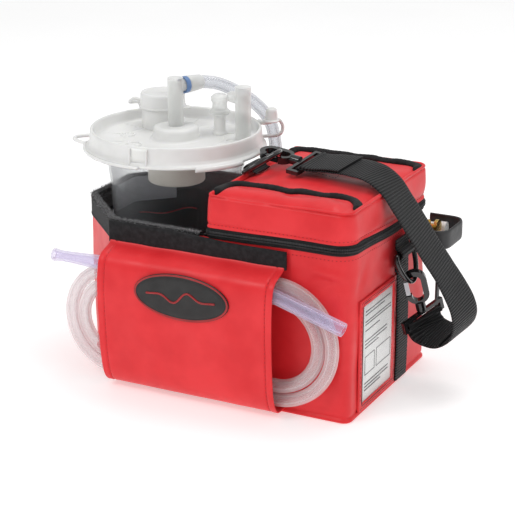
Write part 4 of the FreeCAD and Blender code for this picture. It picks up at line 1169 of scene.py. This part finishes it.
def strap_line():
    """Centre line and across directions, from one sewn-back tail to the other."""
    nose_l, way_l, side_l, up_l = LEFT_HOOK
    nose_r, way_r, side_r, _ = RIGHT_HOOK
    bar_l = nose_l + way_l * BAR_AT
    bar_r = nose_r + way_r * BAR_AT
    body = smooth_line([bar_l + up_l * BAR_TURN, *STRAP_MIDDLE], 300)
    far_side = Vector((0.38, 0.88, 0.29)).normalized()
    last_way = (body[-1] - body[-4]).normalized()
    outward = (bar_r - body[-1]).normalized()
    below = far_side.cross(last_way)
    below = (below - outward * below.dot(outward)).normalized()
    if below.z > 0:
        below = -below
    body = body[:-8] + smooth_line([body[-8], body[-1] + below * 0.6, bar_r + below * BAR_TURN], 14)
    spans = len(body) - 1
    flat = Vector((0.05, 0.98, 0.10)).normalized()
    across = [turned_across(i / spans, side_l, flat, far_side, side_r) for i in range(spans + 1)]
    tail_l = turned_back(body, across, range(2, 50, 4), -1)
    face = -1 if below_side(body, across, below) else 1
    tail_r = turned_back(body[::-1], across[::-1], range(3, 36, 4), face)
    wrap_l = turned_end(bar_l, up_l, -way_l, math.pi, 0.0)
    wrap_r = turned_end(bar_r, below, outward, 0.0, math.pi)
    line = tail_l[::-1] + wrap_l[:-1] + body + wrap_r[1:] + tail_r
    twist = [across[-1].lerp(across[-12], k / len(tail_r)) for k in range(len(tail_r))]
    sides = [across[0]] * (len(tail_l) + len(wrap_l) - 1) + across + [across[-1]] * (len(wrap_r) - 1) + twist
    return line, sides


def turned_across(share, first, flat, far_side, last):
    """The strap lies flat over the lid, then twists on its way down to the right hook."""
    way = first.lerp(flat, min(1.0, share / 0.2))
    way = way.lerp(far_side, max(0.0, (share - 0.62) / 0.38))
    return way.lerp(last, max(0.0, (share - 0.96) / 0.04))


def below_side(body, across, below):
    """True when 'below' lies on the positive face of the strap's far end, walked backwards."""
    way = (body[-6] - body[-1]).normalized()
    return across[-1].cross(way).dot(below) > 0


def turned_back(body, across, steps, sign):
    """The sewn-back tail: a layer that follows the strap from the buckle bar."""
    out = []
    for i in steps:
        way = (body[i + 1] - body[i - 1]).normalized()
        face = across[i].cross(way).normalized()
        out.append(body[i] + face * (sign * LAYER))
    return out


def densified(line, sides, step):
    """Short equal steps, so that the weave and the bends stay even."""
    points = []
    ways = []
    for i in range(len(line) - 1):
        parts = max(1, round((line[i + 1] - line[i]).length / step))
        for k in range(parts):
            points.append(line[i].lerp(line[i + 1], k / parts))
            ways.append(sides[i].lerp(sides[i + 1], k / parts))
    return points + [line[-1]], ways + [sides[-1]]


def build_strap():
    line, sides = densified(*strap_line(), 1.1)
    strap = ribbon("shoulder_strap_web", line, sides, 38.0, WEB_THICK, WEBBING, 0.25)
    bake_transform(strap)
    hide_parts("shoulder_strap")
    box_stitch("strap_box_left", LEFT_HOOK, "lid")


def filled(corners, parts):
    """Straight runs from corner to corner in equal parts, without the very last corner."""
    return [a.lerp(b, k / parts) for a, b in zip(corners, corners[1:]) for k in range(parts)]


def box_stitch(name, hook, body):
    nose, way, side, up = hook
    spots = [(57, -16), (57, 16), (84, 16), (84, -16), (57, -16)]
    corners = [nose + way * a + side * b + up * 2.0 for a, b in spots]
    line = filled(corners, 12) + corners[-1:]
    stitches = stitch_row(name, line, [up] * len(line), 2.2, 1.4, BLACK_THREAD)
    on_body(stitches, body, "webbing")


TAB_WIDTH, WEB_THICK = 25, 1.7


def tab(name, points, steps, ripple, body, replaced):
    """A length of narrow webbing that lies level across, along Y."""
    line = smooth_line(points, steps)
    web = ribbon(name, line, [Vector((0, 1, 0))] * len(line), TAB_WIDTH, WEB_THICK, WEBBING, ripple)
    on_body(web, body, "webbing", replaced)
    return line


def build_tabs():
    """Narrow webbing tabs that hold the D rings, with their turned ends, and the run down the end."""
    left = [(8.3, 158), (8.3, 170), (8.5, 181), (9.3, 186), (13, 188), (16.7, 186), (18.0, 183.6),
            (19, 182.6), (20.2, 182.2), (21.5, 182)]
    tab("left_tab_web", [(x, -6, z) for x, z in left], 70, 0.15, "lid", "left_web_tab")
    right = [(142, 134), (142, 129), (142.6, 126), (146, 124.6), (148.3, 121.5), (146.4, 117.6),
             (143, 115.8), (142, 112), (142, 106)]
    tab("right_tab_web", [(x, 14, z) for x, z in right], 60, 0.15, "bag", "right_web_tab")
    run = tab("end_webbing_run", [(140.0 + 0.5 * math.sin(z / 23), 24.5 + 0.8 * math.sin(z / 31), z)
                                  for z in (2, 25, 50, 75, 100, 118, 131.5)], 60, 0.3, "bag", "end_webbing")
    for y in (14.5, 34.5):
        line = [p + Vector((1.0, y - 24.5, 0)) for p in run]
        ups = [Vector((1, 0, 0))] * len(line)
        on_body(stitch_row("webbing_stitches_%d" % y, line, ups, 2.4, 1.6, BLACK_THREAD), "bag", "webbing")


FORM_X, FORM_LEFT = 139.4, -54
FORM_RULES = [(88, 52), (85, 40), (79, 54), (76.5, 54), (71, 30), (62, 46), (59, 46), (56, 28), (24, 50),
              (21, 50), (18, 34)]


def printed(name, y0, y1, z0, z1):
    """A printed line or bar, standing slightly proud of the card."""
    points = [(x, y, z) for x in (FORM_X, FORM_X + 0.4) for y in (y0, y1) for z in (z0, z1)]
    return block(name, points, 0.1, 1, PRINT)


def build_label():
    """Clear sewn-on pocket with a blank form: rules and boxes only."""
    card = [[Vector((139.15 + 0.25 * math.sin((z - 9) / 30), y, z)) for y in (-59, -40, -20, 0, 6)]
            for z in (9, 30, 52, 74, 96)]
    on_body(sheet("form_card", card, CARD, 0.3), "bag", "card", "label_card")
    bits = [printed("rule_%d" % i, FORM_LEFT, FORM_LEFT + length, z, z + 0.9)
            for i, (z, length) in enumerate(FORM_RULES)]
    for y0, y1, z0, z1 in ((-54, -34, 32, 48), (-30, 0, 32, 48)):
        for a, b, c, d in ((y0, y1, z0, z0 + 0.6), (y0, y1, z1, z1 + 0.6), (y0, y0 + 0.6, z0, z1),
                           (y1, y1 + 0.6, z0, z1)):
            bits.append(printed("box_side", a, b, c, d))
    on_body(joined("form_rules", bits), "bag", "card")
    pane = [[Vector((140.1 + 0.3 * math.sin((y + z) / 21), y, z)) for y in range(-62, 8, 4)]
            for z in range(6, 101, 5)]
    on_body(sheet("label_pane", pane, CLEAR_PANE, 0.3), "bag", "card", "label_window")
    edge = [Vector((140.2, y, z)) for y, z in rectangle(-60.5, 6.6, 7.5, 97.6)]
    on_body(bar("label_bound_edge", filled(edge, 20), 0.55, BLACK_THREAD, 8, True), "bag", "black_lining")
    flange = [Vector((140.0, y, z)) for y, z in rectangle(-67, 9, 3.5, 101)]
    on_body(frame_sheet("label_frame", flange, 6.0, RED), "bag", "red_fabric")
    line = filled([Vector((140.7, y, z)) for y, z in rectangle(-65, 7.6, 5.5, 99.5)], 30)
    stitches = stitch_row("label_stitches", line, [Vector((1, 0, 0))] * len(line), 2.1, 1.5, THREAD)
    on_body(stitches, "bag", "red_fabric")


def rectangle(left, right, low, high):
    """Corners in order, with the first one again at the end."""
    return [(left, low), (right, low), (right, high), (left, high), (left, low)]


def build_brackets():
    """Guard hoop round the fittings and the upright grip, bent from flat coated strip."""
    hoop = rounded_run([(139.5, 39.8), (171.8, 39.8), (171.8, 87.2), (139.5, 87.2)], 13.0)
    hoop_line = [Vector((x, y, 126.3)) for x, y in hoop]
    guard = ribbon("guard_hoop", hoop_line, [Vector((0, 0, 1))] * len(hoop_line), 16.5, 2.6, BLACK_METAL)
    grip = rounded_run([(139.5, 35.3), (150.8, 35.3), (150.8, 108.7), (139.5, 108.7)], 5.0)
    grip_line = [Vector((x, 81, z)) for x, z in grip]
    upright = ribbon("upright_grip", grip_line, [Vector((0, 1, 0))] * len(grip_line), 6.0, 2.6, BLACK_METAL)
    on_body(joined("guard_brackets", [guard, upright]), "bag", "black_metal", "end_brackets")


def rounded_run(corners, radius):
    """An open path through the corners with its inner corners rounded, as (a, b) pairs."""
    pts = [Vector((*c, 0)) for c in corners]
    out = [pts[0]]
    for before, here, after in zip(pts, pts[1:], pts[2:]):
        p0 = here + (before - here).normalized() * radius
        p1 = here + (after - here).normalized() * radius
        for k in range(9):
            t = k / 8
            out.append(p0.lerp(here, t).lerp(here.lerp(p1, t), t))
    out.append(pts[-1])
    return [(p.x, p.y) for p in resampled(out, 80)]


def frame_sheet(name, corners, width, mat):
    """A flat rectangular frame in the end wall's plane, slightly rounded in section."""
    centre = sum(corners[:4], Vector()) / 4
    rows = []
    section = [(0, -0.9), (0, 0.2), (0.5, 0.5), (width * 0.5, 0.62), (width - 0.5, 0.5), (width, 0.2),
               (width, -0.9)]
    for inward, out in section:
        run = [Vector((c.x + out, c.y - math.copysign(inward, c.y - centre.y),
                       c.z - math.copysign(inward, c.z - centre.z))) for c in corners]
        rows.append([p + Vector((0.25 * fbm(p, 12, 2.0), 0, 0)) for p in filled(run, 24)])
    return grid_object(name, rows, mat, True)


# ------------------------------------------------------------------ collection canister

CUP_X, CUP_Y = -74.5, 13.0
CUP_AT = (CUP_X, CUP_Y, 0)
POUR_AT, TANDEM_AT, PATIENT_AT = (-105.5, 44, 0), (-46, 42, 0), (-19, 35, 0)


TETHER_SIDES = 14


def polar(angle, radius, z):
    a = math.radians(angle)
    return Vector((CUP_X + radius * math.cos(a), CUP_Y + radius * math.sin(a), z))


def build_cup():
    corners = [(0.01, 12.0), (52, 12), (58.5, 154), (60.3, 166), (62.0, 186), (64, 186), (64, 189),
               (59.8, 189), (58.4, 166), (56.5, 154), (50.1, 14.4), (0.01, 14.2)]
    cup = lathe("clear_canister", corners, 1.2, CUP_AT, CLEAR_CUP, 128)
    on_body(cup, "cup", "clear_cup", "canister_cup")
    marks = []
    for i in range(10):
        z = 30 + 11 * i
        radius = 52 + 6.5 * (z - 12) / 142 + 0.05
        span = 9 if i % 2 else 15
        rows = [[polar(-150 + a * span / 8, radius + dr, z + dz) for a in range(9)]
                for dr, dz in ((0, 0), (0.35, 0.1), (0.35, 0.7), (0, 0.8))]
        marks.append(grid_object("mark_%d" % i, rows, WHITE_CAP, False, True))
    on_body(joined("cup_level_marks", marks), "cup", "clear_cup")


LID_PROFILE = [(10.2, 192.1), (64.3, 192.1), (64.3, 189.1), (75.6, 189), (76, 186.9), (79.6, 186.8),
               (80.5, 187.6), (80.2, 189.2), (77.8, 190.6), (76.7, 193), (76.1, 203.2), (75.5, 205.1),
               (73.6, 205.1), (72.9, 203.4), (72.4, 196.6), (70.6, 194.7), (46, 194.9), (45, 195.3),
               (43.6, 195.3), (42.6, 194.7), (23.5, 194.6), (21.0, 195.8), (20.4, 202.6), (19.4, 204.9),
               (16.2, 206), (9, 206.1), (4.7, 206), (4.7, 203.5), (10.2, 203.5)]


def build_canister_lid():
    cover = lathe("canister_cover", LID_PROFILE, 0.8, CUP_AT, MILKY, 160)
    neck = [(16.5, 185), (19, 185), (19, 223), (16.5, 223)]
    tandem = [(3, 185), (6.4, 193), (6.4, 196), (5.2, 198), (5.0, 216), (3, 216)]
    patient = [(3, 185), (6.4, 193), (6.4, 196), (4.5, 198), (4.4, 216), (3, 216)]
    spout = [(3, 202), (4.5, 202), (4.5, 214), (3, 214)]
    ports = [("pour_neck", neck, 0.7, POUR_AT, 96), ("tandem_post", tandem, 0.5, TANDEM_AT, 48),
             ("patient_spigot", patient, 0.5, PATIENT_AT, 48), ("vacuum_spout", spout, 0.4, CUP_AT, 48)]
    parts = [cover] + [lathe(name, corners, fillet, at, MILKY, sides, steps=2)
                       for name, corners, fillet, at, sides in ports]
    on_body(joined("canister_cover", parts + lid_mouldings()), "cap", "milky_plastic", "canister_lid")


def radial_rib(name, angle, inner, outer, low, high, thick):
    """A thin upright rib pointing away from the canister's axis."""
    a = math.radians(angle)
    way = Vector((math.cos(a), math.sin(a), 0))
    side = Vector((-way.y, way.x, 0))
    base = Vector((CUP_X, CUP_Y, 0))
    points = []
    for r in (inner, outer):
        for s in (-thick / 2, thick / 2):
            for z in (low, high if r == inner else high - 0.8):
                points.append(base + way * r + side * s + Vector((0, 0, z)))
    return block(name, points, 0.45, 3, MILKY)


def arc_strip(name, start, end, profile, mat, steps):
    """A moulded strip that follows the lid's rim between two angles; profile is (radius, z)."""
    rows = [[polar(start + (end - start) * k / steps, r, z) for r, z in profile] for k in range(steps + 1)]
    strip = grid_object(name, rows, mat, True)
    close_ends(strip, len(rows), len(profile))
    return strip


def lid_mouldings():
    """Grip ribs, the thick pull lip, stiffening ribs and the tear strip with its finger loop."""
    parts = [radial_rib("grip_rib_%d" % i, angle, 75.5, 79.6, 189, 204, 1.5)
             for i, angle in enumerate((-91, -79.5))]
    pad = [(76, 189), (77.4, 189), (77.0, 203.6), (76, 204)]
    lip = [(79, 184.6), (81.6, 184.8), (82.2, 186.2), (81.4, 188.6), (79, 189.4)]
    tear = [(80.0, 186.6), (81.8, 186.5), (82.6, 187.6), (81.9, 189.2), (80.2, 189.4)]
    parts += [arc_strip("grip_pad", -90.5, -80, pad, WHITE_CAP, 12),
              arc_strip("pull_lip", -49, -16, lip, MILKY, 40)]
    for i, angle in enumerate(range(0, 360, 30)):
        parts.append(radial_rib("floor_rib_%d" % i, angle + 12, 46, 70, 194.3, 195.6, 1.2))
    for i, (x, y) in enumerate(((-96, -24), (-60, -34), (-118, 2))):
        boss = [(5.6, 194.2), (7.2, 194.2), (7.0, 195.5), (5.8, 195.5)]
        parts.append(lathe("floor_boss_%d" % i, boss, 0.3, (x, y, 0), MILKY, 40, steps=2))
    parts.append(arc_strip("tear_strip", -160, -84, tear, MILKY, 70))
    loop = [polar(a, r, 188.4) for a,
            r in ((-156, 81), (-160, 88), (-164.5, 94), (-168.5, 95.2), (-172, 92.5), (-175.5, 85),
                  (-178, 79.5))]
    parts.append(bar("finger_loop", smooth_line(loop, 50), 1.7, MILKY, TETHER_SIDES))
    return parts


def build_filter_housing():
    corners = [(25.3, 192), (25.5, 157), (24.6, 156), (12, 156), (12, 158), (23.5, 158), (23.5, 192)]
    on_body(lathe("filter_cup", corners, 0.9, CUP_AT, GREY, 110), "cap", "grey_plastic",
            "filter_housing")


def build_pour_cap():
    corners = [(19.1, 213), (21.3, 213), (21.3, 214.4), (20.6, 214.9), (20.2, 224.8), (19.2, 226.7),
               (17.6, 227), (15.8, 226.5), (0.01, 226.4), (0.01, 225), (19.1, 225)]
    cap = lathe("pour_lid", corners, 0.7, POUR_AT, MILKY, 110)
    lip = [(0.01, 212.9), (5, 212.9), (5, 214.3), (0.01, 214.4)]
    thumb_tab = lathe("pour_tab", lip, 0.4, (-84, 48, 0), MILKY, 40, steps=2)
    on_body(joined("pour_lid", [cap, thumb_tab]), "pour", "milky_plastic", "pour_cap")
    high = Vector((-127.5, 46.5, 213.6))
    low = polar(145, 75.0, 206.2)
    line = smooth_line([high, high + Vector((-4, 0, 2.4)), high + Vector((-9.5, -0.6, 2.6)),
                        high + Vector((-13.5, -1.0, -1.0)), low + Vector((-3.2, 1.2, 4.2)), low], 60)
    strip = bar("pour_tether", line, 1.6, MILKY, TETHER_SIDES)
    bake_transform(strip)
    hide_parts("pour_cap_tether")


def build_small_ports():
    """Blanking cap on the tandem post with its branch, and the spare plug on its tether."""
    corners = [(5.1, 213), (8.6, 213), (9.4, 214.6), (8.8, 216.6), (6.9, 218), (6.4, 223), (7.8, 225.5),
               (7.6, 229), (5, 231.2), (0.01, 231.5), (0.01, 216), (5.1, 216)]
    on_body(lathe("tandem_cap", corners, 0.8, TANDEM_AT, FROST, 64), "cap", "milky_plastic",
            "tandem_port_cap")
    base = (-3.5, 60, 0)
    corners = [(3.2, 207), (7.2, 207), (7.2, 208.4), (5.6, 208.9), (5.0, 217), (4.2, 218.9), (0.01, 219),
               (0.01, 217), (3.2, 217)]
    plug = lathe("spare_plug", corners, 0.6, base, MILKY, 56)
    line = smooth_line([(-3.0, 66.5, 207.8), (-0.5, 71, 205.5), (1.4, 73, 199), (-1.5, 70.5, 192.5),
                        polar(47, 79.5, 188.6)], 50)
    tether = bar("plug_tether", line, 1.5, MILKY, TETHER_SIDES)
    line = smooth_line([polar(41, 75.5, 204.6), (-9.5, 58, 205.6), (-3.5, 60, 207.2)], 20)
    perch = bar("plug_perch", line, 2.2, MILKY, TETHER_SIDES)
    on_body(joined("spare_plug", [plug, tether, perch]), "cap", "milky_plastic", "port_plug")


HOSE_WAY = Vector((0.37, 0.929, 0)).normalized()
ELBOW = Vector((CUP_X, CUP_Y, 241))


def build_hose():
    start = ELBOW + HOSE_WAY * 20.5
    points = [start, start + HOSE_WAY * 8, (-52, 51, 238), (-38, 61, 230), (-25, 70, 219), (-14, 76, 204),
              (-8, 76.5, 184), (-5.5, 74, 160), (-5.5, 73, 136)]
    line = smooth_line(points, 150)
    hose = pipe("clear_hose", line, 5.75, 4.1, CLEAR_HOSE, 32)
    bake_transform(hose)
    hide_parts("vacuum_hose")
    corners = [(6.1, 12.6), (7.4, 12.6), (7.6, 14), (7.1, 22), (6.4, 28.5), (5.9, 29), (5.85, 14)]
    cuff = lathe("hose_cuff", corners, 0.5, ELBOW, FROST, 56, HOSE_WAY)
    on_body(cuff, "cup", "milky_plastic")


# ------------------------------------------------------------------ rigid nodes that keep their CAD shape

# Edge rounding in millimetres by the start of the node's name; the first entry that fits is used.
BEVEL_PIECES = {"hook_loop": 0.9, "hook_": 1.3, "gate_": 0.8, "module_": 0.8, "battery": 1.5, "motor": 0.6,
                "pump_head": 0.8, "connecting_rod": 0.4, "brass_fittings": 0.35, "switch_nut": 0.25,
                "toggle_lever": 0.3, "white_port_cap": 0.5, "vacuum_elbow": 0.5, "patient_elbow": 0.5,
                "elbow_ring": 0.5, "gauge_body": 0.5, "cover_screws": 0.2}
# Pieces with more faces than this are left as they are.
BEVEL_LIMIT = 9000

NODE_LOOKS = {"d_ring": BLACK_PLASTIC, "hook": BLACK_PLASTIC, "gate_left": BLACK_PLASTIC,
              "gate_right": STEEL, "brass": BRASS, "white_port": WHITE_CAP, "switch_nut": CHROME,
              "toggle": CHROME, "slider": BLACK_METAL, "pull": BLACK_METAL, "vacuum_elbow": FROST,
              "patient_elbow": FROST, "elbow_ring": BLUE, "lid_gasket": RUBBER, "float": BLUE,
              "cover_screws": STEEL, "battery": BLACK_PLASTIC, "motor": STEEL, "diaphragm": RUBBER,
              "connecting_rod": STEEL, "board": BOARD, "knob": BLACK_PLASTIC, "gauge": DIAL,
              "needle": NEEDLE}


def dress_cad_nodes():
    """Softened edges and a material for every CAD node, picked by the longest name part; plain otherwise."""
    for item in bpy.data.objects:
        if item.type != "MESH" or item.name not in CAD_NAMES:
            continue
        keys = [k for k in NODE_LOOKS if k in item.name]
        mesh = item.data
        mesh.materials.clear()
        mesh.materials.append(NODE_LOOKS[max(keys, key=len)] if keys else CASE_PLASTIC)
        mesh.polygons.foreach_set("use_smooth", [True] * len(mesh.polygons))
        width = next((w for k, w in BEVEL_PIECES.items() if item.name.startswith(k)), None)
        if width is not None and len(mesh.polygons) <= BEVEL_LIMIT:
            add_modifier(item, "BEVEL", width=width * MM, segments=2, limit_method="ANGLE",
                         angle_limit=math.radians(35), harden_normals=False)


# ------------------------------------------------------------------ floor, light and camera


FLOOR_REACH, FLOOR_Z = 6000, -0.4


def build_stage():
    """A pale floor, an even white surround and three soft lamps."""
    floor, tree, shader = new_material("pale_floor")
    coords = object_coords(tree)
    shade(tree, shader, (0.72, 0.72, 0.72), (0.75, 0.75, 0.75), coords, 300)
    set_inputs(shader, Roughness=0.6, Emission_Color=(1.0, 1.0, 1.0, 1.0), Emission_Strength=0.44)
    edge = rectangle(-FLOOR_REACH, FLOOR_REACH, -FLOOR_REACH, FLOOR_REACH)[:4]
    corners = [(x, y, FLOOR_Z) for x, y in edge]
    plane = mesh_object("studio_floor", corners, [(0, 1, 2, 3)], floor)
    world = bpy.context.scene.world or bpy.data.worlds.new("studio")
    bpy.context.scene.world = world
    world.use_nodes = True
    tree = world.node_tree
    background = set_inputs(tree.nodes["Background"], Color=(1.0, 1.0, 1.0, 1.0))
    rays = tree.nodes.new("ShaderNodeLightPath")
    level = node(tree, "ShaderNodeMapRange", To_Min=0.56, To_Max=1.0)
    tree.links.new(rays.outputs["Is Camera Ray"], level.inputs["Value"])
    tree.links.new(level.outputs["Result"], background.inputs["Strength"])
    soft_light("key_light", (-0.7, -1.3, 1.7), 0.8, 10.0)
    soft_light("fill_light", (1.8, -0.7, 1.1), 0.9, 4.5)
    soft_light("top_light", (0.2, 0.5, 1.9), 1.0, 11.0)


def soft_light(name, spot, size, power):
    data = bpy.data.lights.new(name, "AREA")
    data.shape = "DISK"
    data.size = size
    data.energy = power
    lamp = bpy.data.objects.new(name, data)
    lamp.location = spot
    lamp.rotation_euler = (Vector((0, 0, 0.09)) - Vector(spot)).to_track_quat("-Z", "Y").to_euler()
    bpy.context.scene.collection.objects.link(lamp)


def build_camera():
    data = bpy.data.cameras.new("camera")
    data.lens = 117.4
    data.sensor_width = 36.0
    camera = bpy.data.objects.new("camera", data)
    camera.location = Vector((640.2, -1241.9, 578.5)) * MM
    target = Vector((12.84, 0, 99.77)) * MM
    camera.rotation_euler = (target - camera.location).to_track_quat("-Z", "Y").to_euler()
    bpy.context.scene.collection.objects.link(camera)
    bpy.context.scene.camera = camera
    bpy.context.scene.view_settings.view_transform = "Standard"


def build_all():
    build_case()
    build_pocket()
    build_rim_band()
    build_divider()
    build_lid()
    build_piping()
    zipper_strip("zipper_tape_low", "bag", "zipper_lower", -1)
    zipper_strip("zipper_tape_high", "lid", "zipper_upper", 1)
    build_flap()
    build_flap_band()
    build_badge()
    build_tubing()
    build_strap()
    build_tabs()
    build_label()
    build_brackets()
    build_cup()
    build_canister_lid()
    build_filter_housing()
    build_pour_cap()
    build_small_ports()
    build_hose()
    build_stage()
    build_camera()
    dress_cad_nodes()


build_all()
